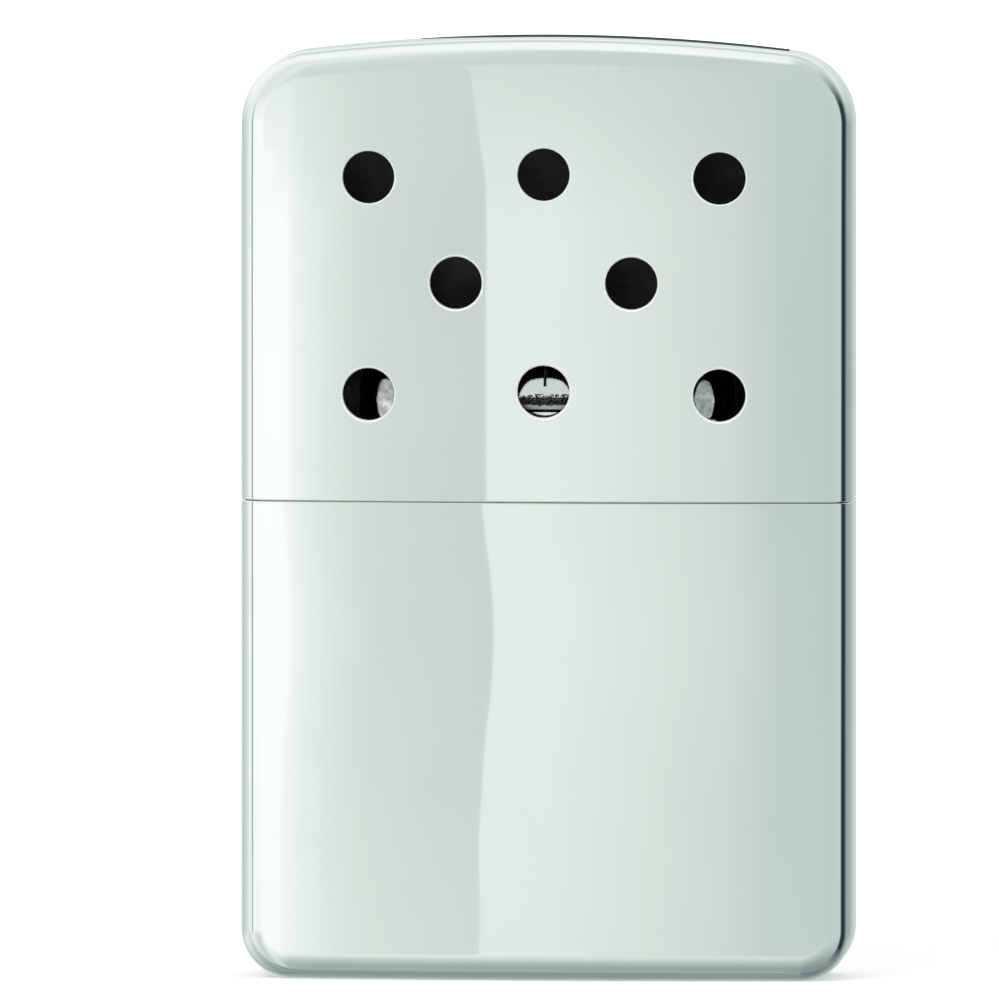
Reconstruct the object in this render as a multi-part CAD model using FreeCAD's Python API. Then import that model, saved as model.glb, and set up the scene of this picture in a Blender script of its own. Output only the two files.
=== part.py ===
import FreeCAD, Part
import math
import os
from FreeCAD import Vector

# Catalytic hand warmer: a drawn fuel tank with a soldered shoulder and filler neck, a lift-off
# burner head that slips over the neck, and a vented lid that slips over the shoulder's collar.
# Millimetres. +Z is up, +X to the right, and the vented front faces -Y. The origin is the
# middle of the base. Each function below makes one sub-part where it sits when assembled.

# Case: outside sizes of the closed warmer
CASE_WIDTH = 51.0
CASE_HEIGHT = 78.53
CASE_DEPTH = 14.0
CASE_WALL = 0.5
SEAM_Z = 40.0
FACE_SAG = 1.3              # how far a broad face falls from its middle to its side edge
EDGE_RADIUS = 2.4           # rounding between the broad faces and the narrow sides
TOP_ARCH_RADIUS = 176.0
TOP_CORNER_RADIUS = 6.0
BASE_CORNER_RADIUS = 4.3
BASE_FLATTENING = 0.15      # how much of the base's rounding is pressed flat where it stands
FACE_BEND_Z = 63.8          # above this height the broad faces lean in towards the top
FACE_BEND_RADIUS = 100.0
FACE_BEND_ANGLE = 12.0      # more than enough to reach the top
RIM_CHAMFER = 0.2           # broken outer edge on both sides of the seam
HOLLOW_CHAMFER = 0.95       # edges of the hollow inside the rounding

# Vents: rows of three, two and three, where the outer vents of a row of three sit a little lower
VENT_DIAMETER = 4.35
VENT_PITCH = 14.66
VENT_ROW_Z = (49.25, 58.3, 67.35)
VENT_OUTER_DROP = 0.28

# Tank shoulder: an inverted cup soldered inside the tank, whose collar carries the lid
SHEET = 0.4
LID_CLEARANCE = 0.12
DECK_Z = 44.0
SHOULDER_LOW_Z = SEAM_Z - 4.0
JOGGLE_Z = SEAM_Z - 0.4
DECK_CHAMFER = 0.5
DECK_INNER_CHAMFER = 0.2

# Filler neck: an oblong tube that stands in the deck
NECK_LENGTH = 29.6
NECK_WIDTH = 8.0
NECK_CORNER = 2.5
NECK_TOP_Z = 46.85
NECK_FLANGE = 1.2
NECK_LIP = 0.12

# Cotton packing
COTTON_INSET = 1.3
COTTON_TOP_Z = 42.2
COTTON_CHAMFER = 0.8

# Burner head: the skirt slips over the neck and the cap holds the catalyst
BURNER_SHEET = 0.35
SKIRT_CLEARANCE = 0.15
SKIRT_TOP_Z = 47.3
SKIRT_FLOOR = 0.3
SKIRT_PORT_MARGIN = 2.2
SKIRT_PORT_CORNER = 1.65
BEAD_HEIGHT = 0.7
BEAD_PROUD = 0.7
BEAD_CHAMFER = 0.25

CAP_LENGTH = 31.4
CAP_WIDTH = 9.8
CAP_ROUNDING = 3.2          # of its upright corners and of its top edges
CAP_LOW_Z = 47.0
CAP_TOP_Z = 52.5
WINDOW_LENGTH = 23.2
WINDOW_LOW_Z = 47.42
WINDOW_HIGH_Z = 48.66
WINDOW_CORNER = 0.3
HEAT_SLOTS = 9
HEAT_SLOT_PITCH = 2.5
HEAT_SLOT_WIDTH = 0.25
HEAT_SLOT_LOW_Z = 49.58

TRAY_LOW_Z = 47.65
TRAY_HIGH_Z = 48.02
TRAY_GAP = 0.1
TRAY_LEG = 1.6
TRAY_PORTS = 5
TRAY_PORT_PITCH = 5.2
TRAY_PORT_LENGTH = 4.4
TRAY_PORT_WIDTH = 5.6
TRAY_PORT_CORNER = 1.0

GAUZE_HIGH_Z = 48.22
GAUZE_MARGIN = 0.3
GAUZE_CELL = 2.0
GAUZE_HOLE = 1.5

MAT_GAP = 0.2
MAT_CHAMFER = 1.9

FAR = 100.0                 # longer than anything here, for cutting tools


# ---------------------------------------------------------------- shared shapes

def circle_point(centre, radius, plane, level):
    """Function from an angle to a point on a circle in the XY, XZ or YZ plane."""
    def point_at(angle):
        u = centre[0] + radius * math.cos(angle)
        v = centre[1] + radius * math.sin(angle)
        if plane == "XY":
            return Vector(u, v, level)
        if plane == "XZ":
            return Vector(u, level, v)
        return Vector(level, u, v)
    return point_at


def arc_edge(point_at, start, end):
    """Circular edge through three points of a function that turns an angle into a point."""
    middle = (start + end) / 2
    return Part.Arc(point_at(start), point_at(middle), point_at(end)).toShape()


def line(start, end):
    return Part.LineSegment(start, end).toShape()


def slab(low_z, high_z):
    """Very wide slab between two heights."""
    return Part.makeBox(FAR, FAR, high_z - low_z, Vector(-FAR / 2, -FAR / 2, low_z))


def upright_edges(solid):
    return [edge for edge in solid.Edges if abs(edge.tangentAt(edge.FirstParameter).z) > 0.99]


def edges_at(solid, z):
    """Edges that lie wholly in the level plane at z."""
    found = []
    for edge in solid.Edges:
        box = edge.BoundBox
        if abs(box.ZMin - z) < 1e-4 and abs(box.ZMax - z) < 1e-4:
            found.append(edge)
    return found


def rim_loop(solid, z):
    """Outer loop of the level rim face at z."""
    for face in solid.Faces:
        box = face.BoundBox
        if abs(box.ZMin - z) < 1e-4 and abs(box.ZMax - z) < 1e-4:
            return face.OuterWire.Edges
    raise ValueError("no rim face at this height")


def oblong(length, width, corner, low_z, high_z):
    """Upright prism with a rounded-rectangle plan, centred on the Z axis."""
    block = Part.makeBox(length, width, high_z - low_z, Vector(-length / 2, -width / 2, low_z))
    return block.makeFillet(corner, upright_edges(block))


# ---------------------------------------------------------------- case

def crown_radius():
    """Radius of the broad face's sideways curve, from its sag over the case width."""
    half = CASE_WIDTH / 2
    return (half ** 2 + FACE_SAG ** 2) / (2 * FACE_SAG)


def front_prism(inset, low_z):
    """Front view of the case from low_z up, moved inwards by inset, run through its depth."""
    half = CASE_WIDTH / 2 - inset
    arch = TOP_ARCH_RADIUS - inset
    arch_z = CASE_HEIGHT - TOP_ARCH_RADIUS
    top = TOP_CORNER_RADIUS - inset
    base = BASE_CORNER_RADIUS - inset
    top_x = half - top
    top_z = arch_z + math.sqrt((arch - top) ** 2 - top_x ** 2)
    base_x = half - base
    base_z = low_z + base
    turn = math.atan2(top_z - arch_z, top_x)

    def corner(x, z, radius, start, end):
        return arc_edge(circle_point((x, z), radius, "XZ", -FAR / 2), start, end)

    def side(x_start, z_start, x_end, z_end):
        return line(Vector(x_start, -FAR / 2, z_start), Vector(x_end, -FAR / 2, z_end))

    outline = Part.Wire([
        side(-base_x, low_z, base_x, low_z),
        corner(base_x, base_z, base, -math.pi / 2, 0),
        side(half, base_z, half, top_z),
        corner(top_x, top_z, top, 0, turn),
        corner(0, arch_z, arch, turn, math.pi - turn),
        corner(-top_x, top_z, top, math.pi - turn, math.pi),
        side(-half, top_z, -half, base_z),
        corner(-base_x, base_z, base, math.pi, 1.5 * math.pi),
    ])
    return Part.Face(outline).extrude(Vector(0, FAR, 0))


def face_block(inset):
    """Block behind the front broad face: the face's side view turned about the crown's axis."""
    front_y = inset - CASE_DEPTH / 2
    back_y = CASE_DEPTH
    low_z = -CASE_DEPTH
    spread = 8.0
    bend = FACE_BEND_RADIUS - inset
    on_bend = circle_point((front_y + bend, FACE_BEND_Z), bend, "YZ", 0)
    start = on_bend(math.pi)
    end_angle = math.pi - math.radians(FACE_BEND_ANGLE)
    end = on_bend(end_angle)
    side_view = Part.Face(Part.Wire([
        line(Vector(0, front_y, low_z), start),
        arc_edge(on_bend, math.pi, end_angle),
        line(end, Vector(0, back_y, end.z)),
        line(Vector(0, back_y, end.z), Vector(0, back_y, low_z)),
        line(Vector(0, back_y, low_z), Vector(0, front_y, low_z)),
    ]))
    axis = Vector(0, crown_radius() - CASE_DEPTH / 2, 0)
    side_view.rotate(axis, Vector(0, 0, 1), -spread)
    return side_view.revolve(axis, Vector(0, 0, 1), 2 * spread)


def sharp_case(inset, low_z):
    """The closed case from low_z up, moved inwards by inset, with its long edges left sharp."""
    front = face_block(inset)
    back = front.mirror(Vector(0, 0, 0), Vector(0, 1, 0))
    return front_prism(inset, low_z).common(front).common(back).Solids[0]


def broad_edges(solid):
    """Edges where a broad face meets the rim of the case."""
    edges = []
    for edge in solid.Edges:
        middle = edge.valueAt((edge.FirstParameter + edge.LastParameter) / 2)
        level_faces = 0
        for face in solid.ancestorsOfType(edge, Part.Face):
            normal = face.normalAt(*face.Surface.parameter(middle))
            if abs(normal.y) < 1e-3:
                level_faces += 1
        if level_faces == 1:
            edges.append(edge)
    return edges


def case_shell():
    """The whole case as a closed shell, before it is parted at the seam."""
    outside = sharp_case(0, -BASE_FLATTENING)
    outside = outside.makeFillet(EDGE_RADIUS, broad_edges(outside)).common(slab(0, FAR))
    hollow = sharp_case(CASE_WALL, CASE_WALL)
    return outside.cut(hollow.makeChamfer(HOLLOW_CHAMFER, broad_edges(hollow)))


def case_section(inset, low_z, high_z):
    """Prism with the plan of the case's straight part, moved inwards by inset."""
    half = CASE_WIDTH / 2 - inset
    radius = crown_radius() - inset
    centre_y = crown_radius() - CASE_DEPTH / 2
    edge = EDGE_RADIUS - inset
    edge_x = half - edge
    edge_y = math.sqrt((radius - edge) ** 2 - edge_x ** 2) - centre_y
    turn = math.atan2(edge_y + centre_y, edge_x)

    def bend(x, y, bend_radius, start, end):
        return arc_edge(circle_point((x, y), bend_radius, "XY", low_z), start, end)

    outline = Part.Wire([
        bend(0, centre_y, radius, turn - math.pi, -turn),
        bend(edge_x, -edge_y, edge, -turn, 0),
        line(Vector(half, -edge_y, low_z), Vector(half, edge_y, low_z)),
        bend(edge_x, edge_y, edge, 0, turn),
        bend(0, -centre_y, radius, turn, math.pi - turn),
        bend(-edge_x, edge_y, edge, math.pi - turn, math.pi),
        line(Vector(-half, edge_y, low_z), Vector(-half, -edge_y, low_z)),
        bend(-edge_x, -edge_y, edge, math.pi, math.pi + turn),
    ])
    return Part.Face(outline).extrude(Vector(0, 0, high_z - low_z))


# ---------------------------------------------------------------- lid

def vent_places():
    """Centres of the eight vents in the front view, as (x, z)."""
    low, middle, high = VENT_ROW_Z
    places = []
    for z in (low, high):
        places.append((-VENT_PITCH, z - VENT_OUTER_DROP))
        places.append((0, z))
        places.append((VENT_PITCH, z - VENT_OUTER_DROP))
    places.append((-VENT_PITCH / 2, middle))
    places.append((VENT_PITCH / 2, middle))
    return places


def lid_shell(shell):
    """Upper part of the drawn case, with eight vents through its front."""
    lid = shell.common(slab(SEAM_Z, FAR))
    for x, z in vent_places():
        punch = Part.makeCylinder(VENT_DIAMETER / 2, CASE_DEPTH, Vector(x, -CASE_DEPTH, z),
                                  Vector(0, 1, 0))
        lid = lid.cut(punch)
    return lid.makeChamfer(RIM_CHAMFER, rim_loop(lid, SEAM_Z))


# ---------------------------------------------------------------- tank

def tank_shell(shell):
    """Lower part of the drawn case: an open can with a flat base."""
    tank = shell.common(slab(-FAR, SEAM_Z))
    return tank.makeChamfer(RIM_CHAMFER, rim_loop(tank, SEAM_Z))


def tank_top():
    """Inverted cup: a soldered skirt inside the tank, the collar above it and the deck."""
    collar = CASE_WALL + LID_CLEARANCE
    outer = case_section(collar, SHOULDER_LOW_Z, DECK_Z)
    outer = outer.makeChamfer(DECK_CHAMFER, edges_at(outer, DECK_Z))
    inner = case_section(collar + SHEET, SHOULDER_LOW_Z, DECK_Z - SHEET)
    inner = inner.makeChamfer(DECK_INNER_CHAMFER, edges_at(inner, DECK_Z - SHEET))
    skirt = case_section(CASE_WALL, SHOULDER_LOW_Z, JOGGLE_Z)
    mouth = oblong(NECK_LENGTH, NECK_WIDTH, NECK_CORNER, DECK_Z - 2 * SHEET, DECK_Z + SHEET)
    return outer.fuse(skirt).removeSplitter().cut(inner).cut(mouth)


def filler_neck():
    """Oblong tube through the deck, with a flange soldered to the underside of the deck."""
    flange_z = DECK_Z - 2 * SHEET
    tube = oblong(NECK_LENGTH, NECK_WIDTH, NECK_CORNER, flange_z, NECK_TOP_Z)
    tube = tube.makeChamfer(NECK_LIP, edges_at(tube, NECK_TOP_Z))
    flange = oblong(NECK_LENGTH + 2 * NECK_FLANGE, NECK_WIDTH + 2 * NECK_FLANGE,
                    NECK_CORNER + NECK_FLANGE, flange_z, flange_z + SHEET)
    bore = oblong(NECK_LENGTH - 2 * SHEET, NECK_WIDTH - 2 * SHEET, NECK_CORNER - SHEET,
                  flange_z - SHEET, NECK_TOP_Z + SHEET)
    return tube.fuse(flange).cut(bore).removeSplitter()


def cotton_packing():
    """Cotton batting that fills the tank and holds the fuel."""
    packing = case_section(COTTON_INSET, COTTON_INSET, COTTON_TOP_Z)
    packing = packing.common(front_prism(COTTON_INSET, COTTON_INSET))
    return packing.makeChamfer(COTTON_CHAMFER, edges_at(packing, COTTON_TOP_Z))


# ---------------------------------------------------------------- burner head

def skirt_size():
    """Outside length, width and corner radius of the skirt that slips over the neck."""
    grow = SKIRT_CLEARANCE + BURNER_SHEET
    return NECK_LENGTH + 2 * grow, NECK_WIDTH + 2 * grow, NECK_CORNER + grow


def burner_skirt():
    """Oblong cup over the neck: open below, ported floor above, and a bead that seats the cap."""
    length, width, corner = skirt_size()
    cup = oblong(length, width, corner, DECK_Z, SKIRT_TOP_Z)
    bead_low_z = CAP_LOW_Z - BEAD_HEIGHT
    bead = oblong(length + 2 * BEAD_PROUD, width + 2 * BEAD_PROUD, corner + BEAD_PROUD,
                  bead_low_z, CAP_LOW_Z)
    bead = bead.makeChamfer(BEAD_CHAMFER, edges_at(bead, bead_low_z) + edges_at(bead, CAP_LOW_Z))
    hollow = oblong(length - 2 * BURNER_SHEET, width - 2 * BURNER_SHEET,
                    corner - BURNER_SHEET, DECK_Z - 1, SKIRT_TOP_Z - SKIRT_FLOOR)
    port = oblong(length - 2 * SKIRT_PORT_MARGIN, width - 2 * SKIRT_PORT_MARGIN,
                  SKIRT_PORT_CORNER, DECK_Z, SKIRT_TOP_Z + 1)
    return cup.fuse(bead).cut(hollow).cut(port)


def tray_plan():
    """Length, width and corner radius of the pieces that lie inside the cap."""
    shrink = BURNER_SHEET + TRAY_GAP
    return CAP_LENGTH - 2 * shrink, CAP_WIDTH - 2 * shrink, CAP_ROUNDING - shrink


def mat_tray():
    """Ported plate under the mat, standing on a downturned leg at each end."""
    length, width, corner = tray_plan()
    plate = oblong(length, width, corner, SKIRT_TOP_Z, TRAY_HIGH_Z)
    span = Part.makeBox(length - 2 * TRAY_LEG, FAR, TRAY_LOW_Z - SKIRT_TOP_Z,
                        Vector(TRAY_LEG - length / 2, -FAR / 2, SKIRT_TOP_Z))
    room = oblong(length - 2 * BURNER_SHEET, width - 2 * BURNER_SHEET, corner - BURNER_SHEET,
                  SKIRT_TOP_Z, TRAY_LOW_Z)
    tray = plate.cut(span.fuse(room))
    for index in range(TRAY_PORTS):
        port = oblong(TRAY_PORT_LENGTH, TRAY_PORT_WIDTH, TRAY_PORT_CORNER,
                      SKIRT_TOP_Z, TRAY_HIGH_Z + 1)
        port.translate(Vector((index - (TRAY_PORTS - 1) / 2) * TRAY_PORT_PITCH, 0, 0))
        tray = tray.cut(port)
    return tray


def burner_gauze():
    """Flat screen under the mat, with a grid of square openings."""
    length, width, corner = tray_plan()
    screen = oblong(length - 2 * GAUZE_MARGIN, width - 2 * GAUZE_MARGIN,
                    corner - GAUZE_MARGIN, TRAY_HIGH_Z, GAUZE_HIGH_Z)
    columns = int((length - 2 * corner) / GAUZE_CELL)
    rows = int((width - 2 * GAUZE_MARGIN - GAUZE_CELL / 2) / GAUZE_CELL)
    holes = []
    for column in range(columns):
        for row in range(rows):
            x = (column - (columns - 1) / 2) * GAUZE_CELL - GAUZE_HOLE / 2
            y = (row - (rows - 1) / 2) * GAUZE_CELL - GAUZE_HOLE / 2
            holes.append(Part.makeBox(GAUZE_HOLE, GAUZE_HOLE, 1.0, Vector(x, y, TRAY_HIGH_Z - 0.5)))
    return screen.cut(Part.makeCompound(holes))


def cap_loaf(inset, low_z):
    """Solid of the cap's outside, moved inwards by inset: oblong with a broad rounded top."""
    length = CAP_LENGTH - 2 * inset
    width = CAP_WIDTH - 2 * inset
    high_z = CAP_TOP_Z - inset
    block = Part.makeBox(length, width, high_z - low_z, Vector(-length / 2, -width / 2, low_z))
    return block.makeFillet(CAP_ROUNDING - inset, upright_edges(block) + edges_at(block, high_z))


def catalyst_mat():
    """Catalyst-coated glass fibre that fills the cap above the gauze."""
    inset = BURNER_SHEET + MAT_GAP
    high_z = CAP_TOP_Z - inset
    mat = oblong(CAP_LENGTH - 2 * inset, CAP_WIDTH - 2 * inset, CAP_ROUNDING - inset,
                 GAUZE_HIGH_Z, high_z)
    return mat.makeChamfer(MAT_CHAMFER, edges_at(mat, high_z))


def burner_cap():
    """Drawn cap with a long window in front and back, and heat slots across its top."""
    cap = cap_loaf(0, CAP_LOW_Z).cut(cap_loaf(BURNER_SHEET, CAP_LOW_Z - 1))
    window = Part.makeBox(WINDOW_LENGTH, FAR, WINDOW_HIGH_Z - WINDOW_LOW_Z,
                          Vector(-WINDOW_LENGTH / 2, -FAR / 2, WINDOW_LOW_Z))
    across = [edge for edge in window.Edges if abs(edge.tangentAt(edge.FirstParameter).y) > 0.5]
    cap = cap.cut(window.makeFillet(WINDOW_CORNER, across))
    for index in range(HEAT_SLOTS):
        x = (index - (HEAT_SLOTS - 1) / 2) * HEAT_SLOT_PITCH
        slot = Part.makeBox(HEAT_SLOT_WIDTH, FAR, CAP_TOP_Z,
                            Vector(x - HEAT_SLOT_WIDTH / 2, -FAR / 2, HEAT_SLOT_LOW_Z))
        cap = cap.cut(slot)
    return cap


# ---------------------------------------------------------------- output

def main():
    os.makedirs("parts", exist_ok=True)
    shell = case_shell()
    pieces = {
        "lid_shell": lid_shell(shell),
        "tank_shell": tank_shell(shell),
        "tank_top": tank_top(),
        "filler_neck": filler_neck(),
        "cotton_packing": cotton_packing(),
        "burner_skirt": burner_skirt(),
        "mat_tray": mat_tray(),
        "burner_gauze": burner_gauze(),
        "catalyst_mat": catalyst_mat(),
        "burner_cap": burner_cap(),
    }
    for name, shape in pieces.items():
        if len(shape.Solids) != 1 or not shape.isValid():
            raise ValueError(name + " is not one valid solid")
        solid = shape.Solids[0]
        solid.exportStep("parts/" + name + ".step")
        print(name, round(solid.Volume, 1), "mm3")


main()
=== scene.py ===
import logging
import math
from dataclasses import dataclass
from enum import Enum
from functools import cache
from typing import Any, Callable, Optional, Sequence

import bmesh
import bpy
import numpy as np
from mathutils import Matrix, Vector, noise


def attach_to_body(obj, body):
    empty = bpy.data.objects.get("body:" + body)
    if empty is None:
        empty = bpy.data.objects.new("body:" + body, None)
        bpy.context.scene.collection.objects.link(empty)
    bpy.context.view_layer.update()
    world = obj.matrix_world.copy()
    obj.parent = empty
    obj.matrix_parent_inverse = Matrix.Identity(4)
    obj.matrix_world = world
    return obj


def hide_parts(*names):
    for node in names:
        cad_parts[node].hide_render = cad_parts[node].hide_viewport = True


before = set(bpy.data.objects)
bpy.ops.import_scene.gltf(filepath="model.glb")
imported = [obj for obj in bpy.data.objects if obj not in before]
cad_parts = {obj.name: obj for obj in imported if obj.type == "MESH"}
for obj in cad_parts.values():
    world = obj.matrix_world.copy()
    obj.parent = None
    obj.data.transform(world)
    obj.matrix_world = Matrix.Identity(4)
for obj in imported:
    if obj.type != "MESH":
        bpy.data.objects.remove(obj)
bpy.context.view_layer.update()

LOG = logging.getLogger("hand_warmer")
MM = 0.001

Socket = bpy.types.NodeSocket
Node = bpy.types.Node
Material = bpy.types.Material
Piece = bpy.types.Object
Loop = np.ndarray
Point = tuple[float, float, float]
Colour = tuple[float, float, float]
Range = tuple[float, float]
Ends = tuple[float, float, float, float]
Cards = tuple[tuple[float, float], ...]


class Body(Enum):
    """Rigid bodies of the warmer."""

    TANK = "tank"
    BURNER = "burner"
    LID = "lid"


class Slot(Enum):
    """Material slots of the record."""

    CHROME = "case_chrome"
    NICKEL = "nickel_sheet"
    COTTON = "cotton"
    STEEL = "burner_steel"
    WIRE = "gauze_wire"
    FIBRE = "catalyst_fibre"


# ------------------------------------------------------------------ nodes

class Nodes:
    """Node tree, with short calls to add and join nodes."""

    def __init__(self, tree: bpy.types.NodeTree) -> None:
        """Takes the tree of a material, a world or a pattern, and empties it."""
        self.tree = tree
        tree.nodes.clear()

    def add(self, kind: str, inputs: Optional[dict[Any, Any]] = None, **settings: Any) -> Node:
        """Adds a node.

        Args:
            kind: Type name of the node.
            inputs: Value, output socket or list of sockets for each input, by its name or number.
            **settings: Properties of the node.

        Returns:
            The new node.
        """
        node = self.tree.nodes.new(kind)
        for key, value in settings.items():
            setattr(node, key, value)
        for key, value in (inputs or {}).items():
            for item in value if isinstance(value, list) else [value]:
                if isinstance(item, Socket):
                    self.tree.links.new(item, node.inputs[key])
                else:
                    node.inputs[key].default_value = item
        return node

    def math(self, operation: str, *values: Any, clamp: bool = False) -> Socket:
        """Output of a Math node with the given numbers or sockets, in order."""
        return self.add("ShaderNodeMath", dict(enumerate(values)), operation=operation,
                        use_clamp=clamp).outputs[0]

    def times(self, first: Any, *others: Any) -> Socket:
        """Multiplies numbers and sockets, one after another.

        Args:
            first: Number or socket.
            *others: Numbers or sockets that it is multiplied by.

        Returns:
            The output socket.
        """
        for value in others:
            first = self.math("MULTIPLY", first, value)
        return first

    def parts(self, vector: Socket) -> Sequence[Socket]:
        """Outputs with the X, Y and Z of a vector."""
        return self.add("ShaderNodeSeparateXYZ", {0: vector}).outputs

    def seen(self) -> Socket:
        """Tells what looks at the place.

        Returns:
            Output socket, 1 for the camera, a reflection or a clear piece, 0 for falling light.
        """
        path = self.add("ShaderNodeLightPath").outputs
        return self.math("MAXIMUM", path["Is Camera Ray"],
                         self.math("MAXIMUM", path["Is Glossy Ray"], path["Is Transmission Ray"]))


class Graph(Nodes):
    """Node tree of one material."""

    def __init__(self, name: str) -> None:
        """Starts an empty material.

        Args:
            name: Name of the material.
        """
        self.material = bpy.data.materials.new(name)
        self.material.use_nodes = True
        super().__init__(self.material.node_tree)
        self.place = self.add("ShaderNodeTexCoord").outputs["Object"]

    def spread(self, value: Any, low: float, high: float, to_low: float = 0.0,
               to_high: float = 1.0) -> Socket:
        """Maps a range of values onto another one.

        Args:
            value: Socket to map.
            low: Value that becomes to_low.
            high: Value that becomes to_high.
            to_low: First result.
            to_high: Second result.

        Returns:
            The output socket, kept inside the two results.
        """
        node = self.add("ShaderNodeMapRange", {"Value": value, "From Min": low, "From Max": high,
                                               "To Min": to_low, "To Max": to_high})
        return node.outputs["Result"]

    def noise(self, size: Point, detail: float = 2.0, roughness: float = 0.5,
              shift: Point = (0, 0, 0)) -> Socket:
        """Adds a noise pattern.

        Args:
            size: Width of a feature along X, Y and Z in millimetres.
            detail: Number of finer layers.
            roughness: How strong the finer layers are.
            shift: Where the pattern starts, in its own scale.

        Returns:
            The output socket.
        """
        scale = tuple(1.0 / (length * MM) for length in size)
        mapped = self.add("ShaderNodeMapping", {"Vector": self.place, "Scale": scale,
                                                "Location": shift})
        node = self.add("ShaderNodeTexNoise", {"Vector": mapped.outputs[0], "Scale": 1.0,
                                               "Detail": detail, "Roughness": roughness})
        return node.outputs[0]

    def blend(self, factor: Any, first: Any, second: Any, mode: str = "MIX") -> Socket:
        """Mixes two colours.

        Args:
            factor: Share of the second colour.
            first: Colour or socket at factor 0.
            second: Colour or socket at factor 1.
            mode: How the colours are mixed.

        Returns:
            The output socket.
        """
        sides = {6: first, 7: second}
        for number, side in sides.items():
            if not isinstance(side, Socket):
                sides[number] = (*side, 1.0)
        return self.add("ShaderNodeMix", {0: factor, **sides}, data_type="RGBA",
                        blend_type=mode).outputs[2]

    def ramp(self, value: Any, stops: Sequence[tuple[float, Colour]]) -> Socket:
        """Turns a value into a colour along a ramp.

        Args:
            value: Socket between 0 and 1.
            stops: Position and colour of each stop.

        Returns:
            The output socket.
        """
        node = self.add("ShaderNodeValToRGB", {0: value})
        elements = node.color_ramp.elements
        while len(elements) < len(stops):
            elements.new(0.5)
        for element, (position, colour) in zip(elements, sorted(stops)):
            element.position = position
            element.color = (*colour, 1.0)
        return node.outputs[0]

    def bump(self, *heights: tuple[Socket, float]) -> Socket:
        """Raises the surface by patterns.

        Args:
            *heights: Pattern and its height in millimetres.

        Returns:
            The normal's output socket.
        """
        total = None
        for pattern, height in heights:
            part = self.times(pattern, height * MM)
            total = part if total is None else self.math("ADD", total, part)
        return self.add("ShaderNodeBump", {"Strength": 1.0, "Distance": 1.0,
                                           "Height": total}).outputs[0]

    def surface(self, **inputs: Any) -> Material:
        """Closes the tree with a Principled shader, with _ for a space in an input's name."""
        named = {key.replace("_", " "): value for key, value in inputs.items()}
        return self.close("ShaderNodeBsdfPrincipled", named)

    def close(self, kind: str, inputs: dict[Any, Any]) -> Material:
        """Ends the tree in a shader.

        Args:
            kind: Type name of the shader.
            inputs: Its inputs.

        Returns:
            The finished material.
        """
        shader = self.add(kind, inputs)
        self.add("ShaderNodeOutputMaterial", {"Surface": shader.outputs[0]})
        return self.material

    def row(self, angle: Socket, cards: Cards) -> Socket:
        """Brightness along a row of cards.

        Args:
            angle: Angle in degrees.
            cards: Angle and brightness of each card's edge, from the lowest angle up.

        Returns:
            Output socket with the brightness, halved.
        """
        low, high = cards[0][0], cards[-1][0]
        share = self.math("DIVIDE", self.math("SUBTRACT", angle, low), high - low)
        return self.ramp(share, [((edge - low) / (high - low), (brightness / 2,) * 3)
                                 for edge, brightness in cards])

    def window(self, angle: Socket, ends: Ends) -> Socket:
        """Share of a card: ends are where it begins, is full, begins to fade and has gone."""
        return self.times(self.spread(angle, *ends[:2]), self.spread(angle, *ends[2:], 1.0, 0.0))

    def degrees(self, operation: str, *values: Any) -> Socket:
        """Angle that a Math node works out, in degrees."""
        return self.times(self.math(operation, *values), 180 / math.pi)


# ------------------------------------------------------------------ finishes

@dataclass(frozen=True)
class Finish:
    """Finish of a surface, whose material is built once however many pieces have it."""

    name: str

    @cache
    def material(self) -> Material:
        """The finish's material."""
        return self.build(Graph(self.name))

    def build(self, graph: Graph) -> Material:
        """Builds the material in an empty tree; each kind of finish has its own way."""
        raise NotImplementedError


@dataclass(frozen=True)
class MirrorChrome(Finish):
    """Polished chrome plate over drawn sheet that isn't quite even."""

    base: Colour = (0.90, 0.925, 0.915)
    bloom: Colour = (0.875, 0.905, 0.895)
    smooth: float = 0.018
    rubbed: float = 0.04
    wave_height: float = 0.02
    wave_size: Point = (34.0, 30.0, 40.0)
    shift: Point = (0.0, 0.0, 0.0)
    metal: float = 1.0
    line_size: Point = (0.9, 0.9, 0.03)
    line_height: float = 0.00001
    cloud_size: Point = (9.0, 9.0, 14.0)

    def build(self, graph: Graph) -> Material:
        """Builds the material: slow unevenness, polishing lines, and a faint bloom.

        Args:
            graph: Empty tree.

        Returns:
            The finished material.
        """
        wave = graph.noise(self.wave_size, 1.0, 0.4, self.shift)
        lines = graph.noise(self.line_size, 3.0, 0.6)
        cloud = graph.noise(self.cloud_size, 4.0, 0.6, self.shift)
        rub = graph.times(graph.spread(lines, 0.55, 0.75), graph.spread(cloud, 0.5, 0.7))
        rough = graph.spread(rub, 0.0, 1.0, self.smooth, self.rubbed)
        tone = graph.blend(graph.spread(cloud, 0.45, 0.75), self.base, self.bloom)
        normal = graph.bump((wave, self.wave_height), (lines, self.line_height))
        return graph.surface(Base_Color=tone, Metallic=self.metal, Roughness=rough, Normal=normal)


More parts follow.
